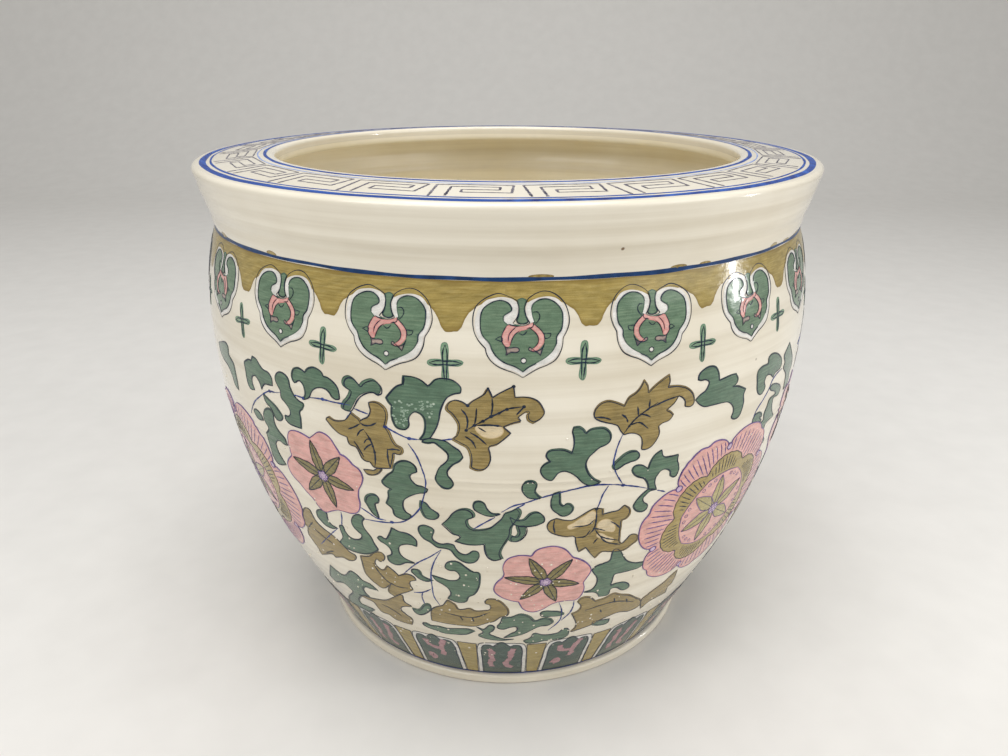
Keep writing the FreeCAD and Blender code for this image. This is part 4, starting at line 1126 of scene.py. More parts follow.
A, B, C, D = (215, 335), (360, 365), (500, 365), (640, 360)
E, F, G, H = (228, 448), (330, 448), (430, 440), (520, 470)
J, K, L, M = (330, 540), (430, 540), (540, 540), (735, 330)
GREEN_LEAVES = (
    (A, "295,270^ 330,245 362,255^ 375,215^ 410,240 445,300 485,350 530,375 565,430 575,505^ 535,497 500,490 "
        "475,515 470,545^ 455,490 430,440 400,405 375,410 370,450 380,500 400,547^ 365,540 340,500 320,430 "
        "310,360 300,310 / 605,400 635,370 690,390 730,440 745,510 770,570 800,620 840,660 882,690 868,740^ "
        "845,762 855,830 862,930^ 800,910 740,880 705,835 702,803^ 740,812 755,780 740,730 700,670 660,620 "
        "655,560 625,500 603,450 / 775,370 790,340 830,330 870,350 900,377^ 930,338 980,325 1030,345 1070,380 "
        "1082,415^ 1130,430 1180,470 1220,520 1240,580 1245,642^ 1215,645 1175,620 1150,580 1105,540 1040,525 "
        "990,540 960,580 940,625 885,648^ 905,600 900,540 880,490 840,455 800,478^ 780,450 770,410 / 1290,480 "
        "1305,440 1345,425 1395,450 1430,490 1460,522^ 1490,485 1540,462 1580,457 1625,480 1665,535 1662,590 "
        "1625,602^ 1590,577 1530,580 1480,600 1450,622 1420,660 1390,720 1365,762^ 1330,760 1285,737 1300,680 "
        "1335,640 1360,590 1362,560 1330,540 1300,515 / 480,590^ 540,650 600,710 645,770 675,830 660,857 620,845 "
        "590,790 560,730 510,670 / 490,775 510,742 550,745 580,790 590,860 610,920 650,980 700,1040 728,1105^ "
        "690,1090 650,1057 620,1060 615,1110 640,1180 680,1250 712,1300^ 640,1290 590,1220 560,1130 530,1020 "
        "518,985^ 540,945 528,908^ 500,860 488,815 / 395,742 430,760 460,800 482,852^ 440,840 410,800"),
    (B, "265,325^ 300,280 370,212 430,190^ 435,108^ 500,115 570,132 620,160 682,212^ 712,188 750,150 800,135 "
        "880,140 930,155 980,190 1010,230 1005,277^ 950,285 890,310 850,350 820,410 800,470 790,540 770,610 "
        "740,670 708,722^ 650,745 600,742^ 640,690 655,630 655,570 640,520 600,480 550,465 510,490 485,540 "
        "490,600 470,635 420,640 370,620 335,560 320,490 322,402^ 295,375 275,345 / 640,742^ 700,733 780,745 "
        "860,765 930,815 1000,865 1028,920^ 990,960 940,985 900,1020 872,1065 880,1110 920,1150 932,1190 "
        "905,1222 850,1225 790,1190 758,1130 770,1080 800,1020 850,980 880,940 880,890 840,845 790,805 740,772 "
        "680,777 620,765^"),
    (C, "735,630^ 790,625 830,650 857,688^ 900,652 970,635 1040,635 1085,665 1105,710 1090,770 1050,800 1000,820 "
        "940,870 880,930 855,990 870,1060 910,1120 1000,1175^ 900,1205^ 840,1185 770,1120 710,1080 640,1060 "
        "580,1080 545,1120 520,1150 460,1140 420,1100 405,1050 440,1000 502,967^ 462,910 478,872 560,850 640,852 "
        "717,882^ 740,800 738,720 725,665 / 1135,1020 1150,990 1200,940 1260,890 1330,862 1380,870 1395,905 "
        "1370,945 1310,965 1250,990 1190,1030 1150,1045"),
    (D, "-75,1100 -50,1060 20,1050 82,1087^ 110,1010 150,950 217,898^ 235,962 300,962 383,943^ 372,1000 385,1060 "
        "375,1120 340,1165 303,1152^ 295,1100 250,1085 200,1110 160,1160 145,1220 162,1292^ 88,1290^ 75,1230 "
        "40,1180 -30,1160 -65,1130 / 85,1285^ 20,1340 -40,1410 -65,1460 -40,1500 20,1510 65,1480 70,1440 40,1422 "
        "25,1390 60,1340 110,1300 155,1290^"),
    (F, "640,210 650,170 700,135 760,130 820,155 860,200 867,242^ 812,260 800,290 830,340 870,370 930,385 "
        "977,412^ 962,442 900,450 840,465 780,490 740,520 730,580 760,640 812,672^ 800,702^ 750,715 700,700 "
        "650,670 630,610 568,552^ 590,490 590,430 622,412^ 560,380 525,335 540,310 590,260 632,232 / 360,530 "
        "375,485 420,468 470,480 492,520 482,550 455,552 460,600 480,660 492,702^ 450,670 410,620 380,570 / "
        "915,530^ 960,550 1000,600 1060,640 1090,670 1075,700 1010,712 960,690 930,640 913,590 / 215,720 240,675 "
        "290,665 342,702^ 320,730 330,780 370,840 410,890 440,950 482,1012^ 440,1040 370,1055 290,1045 200,1015 "
        "130,970 103,930^ 130,890 110,830 93,775^ 120,772 150,830 200,890 260,915 310,905 320,870 280,830 "
        "235,780 / 618,798^ 690,835 770,855 830,890 865,930 868,982^ 820,965 750,960 695,980 690,1030 720,1080 "
        "780,1120 847,1150^ 760,1145 700,1165 650,1160 590,1120 578,1080^ 620,1060 610,1010 560,960 510,930 "
        "480,898^ 500,880 560,910 590,870 608,830"),
    (E, "890,642^ 900,620 950,625 985,650 995,700 1030,760 1092,800^ 1050,802 980,770 930,720 900,680"),
    (G, "118,842^ 180,790 230,730 290,700 370,700 420,735 427,770 390,787 362,800 370,860 430,900 520,900 "
        "600,880 670,830 720,780 742,738^ 800,720 862,688^ 892,720 870,790 830,840 800,880 790,950 750,1020 "
        "710,1080 690,1140 712,1190^ 630,1203 575,1170 548,1110 540,1042^ 450,1050 350,1040 248,1012^ 300,970 "
        "230,940 170,890 / 435,660 450,625 500,615 545,640 570,690 620,735 702,742^ 640,760 560,755 490,725 "
        "450,700 / 920,490 940,430 1000,412 1055,430 1060,470 1045,510 1080,560 1112,580^ 1050,587 980,575 "
        "940,540 / 1230,540^ 1292,518^ 1295,580 1300,640 1330,660 1360,640 1400,645 1425,680 1400,730 1330,760 "
        "1270,730 1220,690 1208,620 / 800,768^ 860,800 940,800 1010,740 1080,725 1140,770 1145,810 1100,840 "
        "1000,862 900,862 825,838^ / 882,858^ 962,868 965,930 930,980 870,1012 812,1005 820,962 870,970 900,930 "
        "890,890"),
    (F, "890,790 930,770 990,785 1040,825 1030,860 1020,900 1060,940 1120,960 1180,955 1240,968^ 1260,1010 "
        "1300,1050 1360,1065 1400,1050 1430,1030 1480,1040 1492,1080 1460,1130 1400,1147 1330,1130 1260,1080 "
        "1210,1020 1150,1000 1080,990 1010,940 940,900 900,850"),
    (J, "0,250^ 60,300 150,350 200,310 260,340 320,400 400,440 472,502^ 400,480 332,470 340,510 390,562^ 330,550 "
        "290,580 300,620 370,660 442,692^ 400,710 330,680 260,640 200,600 190,560 230,520 200,480 120,420 60,410 "
        "0,352^ / 815,300 850,290 890,310 910,350 960,380 1017,402^ 960,410 900,390 850,350"),
    (K, "20,350^ 110,380 200,405 280,395 300,370 260,310 190,300 150,270 165,230 220,210 290,225 350,270 430,320 "
        "485,330 495,400 480,480 440,540 380,570 360,610 290,622 220,600 178,580^ 210,540 190,490 130,440 "
        "60,400"),
    (J, "833,690^ 900,700 950,652 1000,650 1010,690 970,730 900,747 850,720"),
    (K, "-70,830 0,850 80,860 160,880 270,885 380,890 432,910^ 350,942 250,940 150,930 60,900 -40,862 / 468,870^ "
        "540,890 600,850 640,870 620,910 590,930 640,960 740,990 832,990^ 720,1002 600,992 520,970 485,950 "
        "530,920 500,890 / 670,870 700,830 718,780^ 800,775 900,745 990,770 1040,810 1110,790 1190,790 1220,820 "
        "1180,850 1100,860 1030,890 950,930 850,960 738,977^ 800,940 870,900 868,872 800,872 720,892 / 1100,740 "
        "1120,715 1200,710 1280,715 1322,735 1280,755 1200,760 1130,765 / 938,1002^ 1010,970 1040,930 1120,945 "
        "1220,940 1290,920 1330,885 1380,885 1385,930 1340,970 1240,990 1140,1002 1050,1022 960,1022"),
    (L, "518,300^ 560,260 640,230 700,200 718,140 740,90 790,95 820,140 860,200 930,225 1052,213^ 990,270 "
        "900,300 820,320 740,345 720,400 702,452^ 760,430 870,428 888,455 870,480 820,497 760,472 700,490 "
        "680,540 588,562^ 570,530 438,520^ 520,490 560,440 570,380 540,330 / 520,830 600,800 692,785^ 680,820 "
        "620,842 560,845"),
)
SINGLE_LEAVES = (
    (A, "40,70^ 95,68 125,110 135,190 185,290 200,360 215,430 235,545^ 205,500 170,390 130,300 90,240 55,150"),
    (D, "583,195^ 590,150 640,95 700,65 750,70 780,120 790,205^ 850,178 910,152 957,140^ 975,190 955,240 "
        "918,266^ 980,262 1052,290^ 1030,350 1030,420 1010,500 975,570 930,588 908,572^ 930,510 925,460 880,420 "
        "820,425 760,440 700,455 640,465 590,440 553,400^ 600,350 650,310 680,260 690,215 650,195 612,203"),
    (M, "230,632 222,536 234,411 277,364 330,335 340,277 373,239 421,234 459,277 464,325 445,383 402,421 "
        "378,469^ 350,442 318,450 298,490 292,530 298,560 283,605 251,645 / 490,258 517,191 545,129^ 557,191 "
        "569,277 560,344 536,431 521,517 478,593^ 493,517 502,431 483,383 497,316 / 349,584 373,545 421,536 "
        "448,555 440,612 416,651 383,670 368,727 364,804 373,852 335,890 297,938 278,995 273,1053 287,1091 "
        "258,1139 230,1196^ 212,1187 215,1100 212,1033 230,957 278,900 287,842 316,766 344,689 402,627 397,612 "
        "354,598 / 172,938 182,880 211,837 254,828 263,861 239,880 258,904 225,919 196,957"),
)
OLIVE_LEAVES = (
    (B, "85,375^ 130,370 190,390 240,440 258,500 250,570 238,610^ 280,670 310,740 350,800 410,840 412,880 "
        "380,895 335,880 325,930 302,1032^ 200,1030 138,1022^ 98,967^ 60,960 20,930 -10,870 -40,820 -105,790 "
        "-132,718^ -200,690 -270,630 -320,570 -342,535 -315,518^ -270,550 -210,560 -150,550 -95,480^ -60,510 "
        "-20,540 -5,562^ 30,540 70,525 95,490 102,450 90,410 / 38,1045^ 70,1085 130,1097 180,1082 218,1043^ "
        "180,1030 140,1050 90,1045 / 870,430 890,380 940,352 1000,360 1050,385 1077,407^ 1130,360 1200,320 "
        "1245,290 1280,233^ 1300,270 1325,327^ 1400,280 1470,245 1537,213^ 1552,322^ 1650,320 1730,335 1790,370 "
        "1830,430 1845,470 1820,520 1740,572^ 1690,540 1685,490 1700,470 1670,460 1620,490 1585,520 1612,560^ "
        "1540,575 1430,617^ 1507,682^ 1440,740 1370,790 1290,820 1300,880 1307,942^ 1280,1010 1240,1040 "
        "1180,1047 1113,1022^ 1120,950 1110,880 1080,820 1010,780 933,737^ 977,702^ 995,640 990,580 960,530 "
        "920,480"),
    (C, "940,500 960,440 1010,390 1080,365 1160,380 1243,412^ 1290,330 1360,280 1410,220 1441,158^ 1475,215 "
        "1480,282^ 1530,230 1600,170 1692,103^ 1697,170 1680,222^ 1740,215 1800,215 1870,235 1920,280 1938,340 "
        "1930,390 1895,415 1848,412^ 1850,360 1820,320 1785,307^ 1740,380 1658,452^ 1700,470 1730,500^ 1690,550 "
        "1620,580 1580,612^ 1590,680 1560,750 1500,820 1440,845 1413,842^ 1420,770 1410,720 1370,690 1300,680 "
        "1238,697^ 1200,650 1180,610 1130,590 1060,575 980,550 950,530"),
    (H, "270,560 300,510 365,483^ 440,500 520,500 600,460 680,410 750,378^ 822,385^ 820,442^ 900,420 980,400 "
        "1040,348^ 1090,385 1090,430 1050,480 1010,500 1000,560 990,640 1002,730 1060,690 1110,640 1165,650 "
        "1165,690 1110,740 1040,790 960,810 880,810 810,812 740,872^ 700,830 655,768^ 580,812^ 555,720 545,665 "
        "450,660 350,640 290,610"),
    (E, "750,640^ 770,600 810,610 840,660 880,730 950,800 1030,860 1100,920 1160,980 1220,1040 1280,1080 "
        "1280,1112 1220,1122 1150,1090 1080,1092^ 1050,1060 980,1060 940,1062^ 900,990 850,920 810,860 802,790^ "
        "770,750 755,700"),
    (J, "310,160^ 400,160 440,130 520,130 550,180 510,215 470,190 450,220 480,270 540,300 577,258^ 640,310 "
        "690,357^ 770,340 835,365 864,400^ 800,420 832,497^ 770,520 700,540 650,562^ 590,510 612,438^ 540,480 "
        "470,440 410,390 360,330 330,240 / 290,540^ 380,570 470,590 560,600 640,570 720,550 740,610 817,660^ "
        "710,680 760,740 830,800 822,842^ 740,820 660,790 590,740 530,720 480,670 440,620 360,580"),
    (K, "10,730 20,690 130,652^ 172,598^ 250,650 280,690 400,685 440,705 540,705 600,690 600,650 550,630 560,600 "
        "620,590 690,610 740,650 780,710 770,750 700,770 640,810 560,830 450,860 300,850 150,830 18,802^"),
    (L, "378,622^ 420,580 500,575 552,612^ 650,580 740,535 800,545 890,550 960,580 1002,602 990,650 930,690 "
        "870,712^ 780,720 680,760 590,800 520,840 420,880 308,917^ 360,850 340,780 318,740^ 390,700 410,660 / "
        "1000,682^ 1010,600 1080,540 1170,470 1250,410 1310,350 1367,303^ 1340,380 1310,430 1270,470 1252,522^ "
        "1180,560 1090,610"),
)
# Paler patches on two of the olive leaves
PALE_PATCHES = (
    (B, "1150,622 1230,600 1330,600 1420,620 1440,660 1420,700 1350,732 1270,732 1200,700"),
    (H, "470,575 540,520 640,455 745,405 750,490 700,535 610,562 / 765,560 800,505 880,485 945,530 940,610 "
        "860,612 790,605 / 760,650 800,625 870,655 940,690 900,720 830,692"),
)
# Painted highlights: pale specks over one green leaf stand for glints of light off its bumpy enamel
GLINT_FIELD = (B, "340,375 520,372 690,365 745,400 715,530 665,560 640,500 560,445 490,480 470,560 480,625 "
    "400,630 345,560 325,450")
LEAF_VEINS = (
    (B, "165,575 110,602 40,600 -5,570 / 45,655 100,740 130,810 147,870 155,960 150,1020 / 275,835 280,930 "
        "300,1020 / 272,845 340,842 400,852 / -120,640 -50,615 0,585 / -30,710 0,660 40,640 / 40,780 70,740 "
        "100,740 / -60,760 -30,800 0,850 40,920 / 1060,655 1140,605 1230,560 1310,515 1390,480 1470,440 1560,425 "
        "1640,415 / 1145,600 1160,520 1165,430 / 1320,330 1325,420 1310,510 / 1180,620 1220,645 1260,667 / "
        "1640,418 1600,460 1565,497 / 1010,440 1060,500 1077,570 1065,650 / 1050,712 1120,760 1160,832 / "
        "1100,672 1180,720 1265,795 / 1160,605 1290,600 1420,612 / 435,108 438,150 435,200 / 40,850 75,812 "
        "118,790"),
    (C, "1230,690 1290,610 1350,540 1410,490 1500,425 1580,370 / 1375,412 1380,450 1382,500 / 1278,572 1260,525 "
        "1215,492 / 1500,340 1495,380 1490,425 / 1300,600 1390,572 1480,632 / 1410,490 1460,498 1505,518 / "
        "1520,420 1640,360 1780,308 / 950,520 1040,525 1110,545"),
    (H, "765,388 762,480 740,580 690,640 / 745,490 690,540 520,567 / 745,580 800,590 850,602 / 790,650 850,710 "
        "1000,742 / 775,680 750,705 730,732 / 345,500 335,560 350,632 / 745,585 800,655 990,700 / 555,670 "
        "650,660 700,600 / 905,510 960,540 1000,580"),
    (E, "860,800 950,880 1060,960 / 980,1050 1020,1035 1060,1030 / 810,790 830,760 850,740"),
    (J, "430,230 500,330 590,420 700,470 780,480 / 520,640 620,690 720,760"),
    (K, "150,720 300,760 450,770 600,720 / 300,760 315,780 330,800 / 420,770 430,790 440,815"),
    (L, "450,700 600,650 760,610 930,610 / 600,690 605,705 610,720 / 740,575 742,600 745,620 / 860,580 865,600 "
        "870,620"),
)
VINES = (
    (A, "360,782 375,720 400,660 430,630 480,590 540,562 600,575 655,575 / 790,600 840,615 885,632 / 940,625 "
        "1010,632 1080,645 1200,675 1290,690 1355,702 / 1365,762 1340,800 1300,850 / 1390,735 1460,765 1530,790"),
    (B, "238,607 350,672 480,732 600,747 / 480,785 560,900 620,1040 650,1130 / 790,755 860,748 930,738"),
    (F, "905,170 935,240 957,340 950,430 930,510 905,590 830,680 750,730 640,747 500,737 330,707 / 300,590 "
        "380,642 470,702 560,722"),
    (G, "430,892 560,820 650,772 / 715,722 780,685 830,660 950,630 1100,580 1240,540 1400,500 1568,460 / 860,682 "
        "900,665 950,640"),
    (H, "480,195 700,152 900,140 1030,150 1180,165 1290,185 / 1370,200 1410,206 1450,215 / 885,155 830,240 "
        "795,330 768,390"),
    (C, "1228,692 1180,800 1150,900 1135,990 1165,1090 1220,1180 1232,1205"),
    (J, "730,342 870,232 1010,162 1112,98 / 1112,98 1040,222 1010,332 1020,452 1040,562 1100,652 / 840,522 "
        "930,522 1010,492 / 930,522 920,562 950,642"),
    (K, "1290,622 1315,702 1300,792 1180,902 / 1440,602 1430,662 1390,732 1310,800"),
    (M, "469,383 421,431 373,498 335,593 277,699 206,813 167,919"),
    (E, "1130,642 1138,700 1138,772 / 1100,802 1040,852 930,962"),
)
VEIN_KNOTS = (
    (B, "1145,602 1230,560 1310,515 1390,482 1470,442 1640,416 1062,652 100,742 130,812 148,872 1280,235 "
        "1537,215 1077,405"),
    (C, "1410,490 1290,610"),
    (H, "765,388 742,580"),
)
VINE_KNOTS = (
    (A, "545,562 1075,642 882,632"),
    (B, "492,735 252,618"),
    (F, "620,742"),
    (H, "1030,150"),
)
SMALL_FLOWERS = (
    (E, "600,-130 615,-170 660,-175 720,-155 815,-100^ 855,-130 900,-160 960,-145 1020,-100 1065,-30 1125,65^ "
        "1170,85 1240,155 1310,215 1347,285 1340,350 1308,415^ 1305,480 1322,560 1300,640 1240,652 1170,635 "
        "1100,618^ 1040,628 985,640 920,595 860,510 785,430^ 720,350 650,270 612,200 600,130 640,70^ 620,0 "
        "603,-70",
        "955,275 820,-85 1118,90 1262,420 1090,592 815,412 655,82"),
    (K, "740,340 728,270 770,195 860,158 940,152 1015,160^ 1060,105 1150,70 1250,60 1350,90 1430,170^ 1500,190 "
        "1570,230 1610,290 1580,350 1530,420^ 1540,470 1520,530 1460,590 1370,600 1275,615^ 1210,640 1120,690 "
        "1020,715 930,685 885,615^ 800,600 700,560 640,500 655,440 728,372^",
        "1155,415 990,178 1425,185 1490,428 1255,605 900,590 742,370"),
)

# Lifts and lines (width, lift) of the scroll, in millimetres
LEAF_LIFT, PALE_PATCH_LIFT, GLINT_LIFT = 0.15, 0.19, 0.3
GREEN_LINE, OLIVE_LINE, VEIN, VINE = (0.66, 0.2), (0.55, 0.2), (0.9, 0.23), (0.72, 0.18)
WASH_GROWTH = 0.42 * MM
VINE_KNOT, VINE_KNOT_LIFT, VEIN_KNOT_LIFT = (1.1, 0.8), 0.21, 0.25
BUD_LIFT, BUD_LINE = 0.25, (0.65, 0.29)
BUD_RAY, BUD_RAY_LIFT, BUD_RAY_EDGE, BUD_RAY_RIB = (2.0 * MM, 3.3 * MM), 0.36, (0.5, 0.42), (0.5, 0.43)
BUD_HEART, BUD_HEART_LIFT, BUD_BEAD_LINE = 3.0, 0.46, (0.4, 0.52)
KNOT_SIDES, GLINT_SIDES, GLINT_COUNT = 10, 7, 120

# Large flowers, and the stretch of scroll that is repeated between each two of them
FLOWER_ANGLE = math.radians(39.4)
FLOWER_RUN = float(run_at_level(130.8 * MM))
FIRST_GAP = math.radians(95.6)
FLOWER_COUNT = 4
OTHER_GAP = (TURN - FIRST_GAP) / (FLOWER_COUNT - 1)
FLOWER_COPIES = tuple((0.0, 1.0, FLOWER_ANGLE + number * OTHER_GAP) for number in range(FLOWER_COUNT))
COPY_PIVOT = math.radians(-31.0)
COPY_STRETCH = 0.78
COPY_TURN = math.radians(93.5)
SCROLL_COPIES = STAY + tuple(
    (COPY_PIVOT, COPY_STRETCH, COPY_TURN + number * OTHER_GAP) for number in range(FLOWER_COUNT - 1)
)
EDGE_ANGLE = math.radians(-27.0)
EDGE_RUN = float(run_at_level(165 * MM))


def copies_of(line):
    """Copies of a leaf or vine: the first one leaves out what the photo's right edge shows otherwise."""
    angle, run = line.mean(axis=0)
    return STAY + SCROLL_COPIES[2:] if angle < EDGE_ANGLE and run > EDGE_RUN else SCROLL_COPIES


def lines_of(table):
    """Window and text of each line in a table."""
    return [(window, line) for window, text in table for line in text.split("/")]


def shifted(outline, across, up):
    return outline + np.array((across / radius_at(outline[:, 1].mean()), up))


def grown(outline, amount):
    """Outline moved outwards all round."""
    radius = float(radius_at(outline[:, 1].mean()))
    flat = outline * (radius, 1.0)
    return (flat - amount * np.sign(winding(flat)) * left_of(flat)) / (radius, 1.0)


def spoke(tip, base, widest):
    """Leaf-shaped ray of a flower's star from its middle to a tip, and its rib."""
    share = np.linspace(0, 1, 14)
    half = np.interp(share, (0, 0.12, 0.45, 0.8, 1.0), (base, base * 1.15, widest, widest * 0.55, 0.05 * MM))
    left = np.array((-tip[1], tip[0])) / np.linalg.norm(tip) * half[:, None]
    rib = share[:, None] * tip
    return np.vstack((rib + left, (rib - left)[::-1])), rib


def belly_scroll():
    green = Paint("scroll_green", LEAF_GREEN, "green_enamel")
    olive = Paint("scroll_olive", LEAF_OLIVE, "olive_enamel")
    pale_patches = Paint("scroll_pale_patches", PALE_OLIVE, "olive_enamel")
    glints = Paint("scroll_glints", GLINT, "white_enamel")
    ink = Paint("scroll_ink", INK, "ink_enamel")
    vines = Paint("scroll_vines", COBALT, "blue_enamel")
    pink = Paint("buds_pink", PINK, "pink_enamel")
    star = Paint("buds_star", STAR_OLIVE, "olive_enamel")
    heart = Paint("buds_heart", LILAC, "pink_enamel")
    violet = Paint("buds_violet", VIOLET, "ink_enamel")
    chance = random.Random(29)
    seed = 0
    kinds = (
        (green, GREEN_LEAVES, GREEN_LINE), (green, SINGLE_LEAVES, GREEN_LINE), (olive, OLIVE_LEAVES, OLIVE_LINE),
    )
    for paint, leaves, line in kinds:
        for window, text in lines_of(leaves):
            seed += 1
            outline = drawn(window, text)
            copies = STAY if leaves is SINGLE_LEAVES else copies_of(outline)
            wash = shifted(grown(outline, WASH_GROWTH), chance.gauss(0, 0.4) * MM, chance.gauss(0.1, 0.35) * MM)
            paint.fill(wash, LEAF_LIFT, copies)
            ink.outline(outline, line, seed, copies)
    # Paler patches on two of the olive leaves
    for window, text in lines_of(PALE_PATCHES):
        pale_patches.fill(drawn(window, text), PALE_PATCH_LIFT, SCROLL_COPIES)
    # Pale specks of painted highlight over one green leaf
    window, text = GLINT_FIELD
    field = curve(text, True, PIXEL_STEP)
    (left, top), (right, bottom) = field.min(0), field.max(0)
    for _ in range(GLINT_COUNT):
        spot = np.array([[chance.uniform(left, right), chance.uniform(top, bottom)]])
        size, stretch, lean = chance.uniform(0.3, 0.7) * MM, chance.uniform(0.5, 1.0), chance.uniform(0, TURN)
        if inside(spot, field)[0]:
            fleck = oval(GLINT_SIDES, 1.0, stretch, lean) * size
            glints.fill(placed(fleck, *seen(window, spot)[0]), GLINT_LIFT, SCROLL_COPIES)
    for paint, table, line in ((ink, LEAF_VEINS, VEIN), (vines, VINES, VINE)):
        for window, text in lines_of(table):
            seed += 1
            path = drawn(window, text, False)
            paint.stroke(path, line, seed, STAY if window == M else copies_of(path))
    for window, text in VINE_KNOTS:
        for place in seen(window, read_words(text)[0]):
            knot = placed(oval(KNOT_SIDES, *VINE_KNOT) * MM, *place)
            vines.fill(knot, VINE_KNOT_LIFT, copies_of(place[None]))
    for window, text in VEIN_KNOTS:
        for place in seen(window, read_words(text)[0]):
            knot = oval(KNOT_SIDES, 1.0, 0.9) * chance.uniform(0.6, 0.9) * MM
            ink.fill(placed(knot, *place), VEIN_KNOT_LIFT, SCROLL_COPIES)
    for window, text, places in SMALL_FLOWERS:
        seed += 1
        outline = drawn(window, text)
        pink.fill(outline, BUD_LIFT, SCROLL_COPIES)
        violet.outline(outline, BUD_LINE, seed, SCROLL_COPIES)
        middle, *tips = seen(window, read_words(places)[0])
        for tip in tips:
            seed += 1
            way = (tip - middle) * (radius_at(middle[1]), 1.0)
            leaf, rib = (placed(part, *middle) for part in spoke(way, *BUD_RAY))
            star.fill(leaf, BUD_RAY_LIFT, SCROLL_COPIES)
            ink.outline(leaf, BUD_RAY_EDGE, seed, SCROLL_COPIES)
            ink.stroke(rib, BUD_RAY_RIB, seed + 300, SCROLL_COPIES)
        circle = oval(KNOT_SIDES) * BUD_HEART * MM
        heart.fill(placed(circle, *middle), BUD_HEART_LIFT, SCROLL_COPIES)
        for place in circle[::2]:
            bead = placed(oval(KNOT_SIDES) * MM + 0.8 * place, *middle)
            violet.outline(bead, BUD_BEAD_LINE, seed, SCROLL_COPIES)


belly_scroll()

# One large flower, in millimetres and degrees about its middle, with its lifts and its lines (width, lift).
# The notches lie between its petals.
NOTCHES = (142.0, 93.0, 31.0, -34.0, -103.0, -160.0)
NOTCH_RADIUS = 38.5
PETAL_RADIUS = 51.0
RING_OUT, RING_NECK, RING_IN = 36.0, 28.5, 25.5
STAR_RADIUS = 23.0
STAR_RAY = (1.8 * MM, 4.7 * MM)
STAR_LIFT, STAR_EDGE, STAR_RIB = 0.48, (0.45, 0.54), (0.35, 0.55)
HATCH_COUNT, HATCH_MARGIN, HATCH_LINE = 11, 4, (0.72, 0.34)
RIBS, RIB_TURN, RIB_LINE = range(-4, 5), 2.4 * 1.9, (0.6, 0.41)
BEAD_PLACES, BEAD_RADIUS, BEAD_SIZE, BEAD_LINE = (-11, 0, 11), 22.0, 1.1, (0.45, 0.46)
KNOT_RADIUS, KNOT_SIZE, KNOT_LIFT, KNOT_LINE = NOTCH_RADIUS + 2.4, 1.9, 0.36, (0.55, 0.42)
MIDDLE_SIDES, MIDDLE_SIZE, MIDDLE_LIFT = 14, 3.8, 0.58
DOT_RADIUS, DOT_SIZE, DOT_LINE = 2.4, 1.2, (0.4, 0.64)


def polar(degrees, radius):
    turn = np.radians(degrees)
    return np.column_stack((np.cos(turn), np.sin(turn))) * np.asarray(radius).reshape(-1, 1) * MM


def loop(sides, size, degrees, radius):
    """Small round loop about a place on the flower."""
    return polar(np.arange(sides) * 360 / sides, size) + polar(np.array([degrees]), radius)


def ring_lobe(share):
    """How far the olive ring stands out between two notches, from 1 at the notches to 0."""
    return np.abs(np.cos(math.pi * share)) ** 0.55


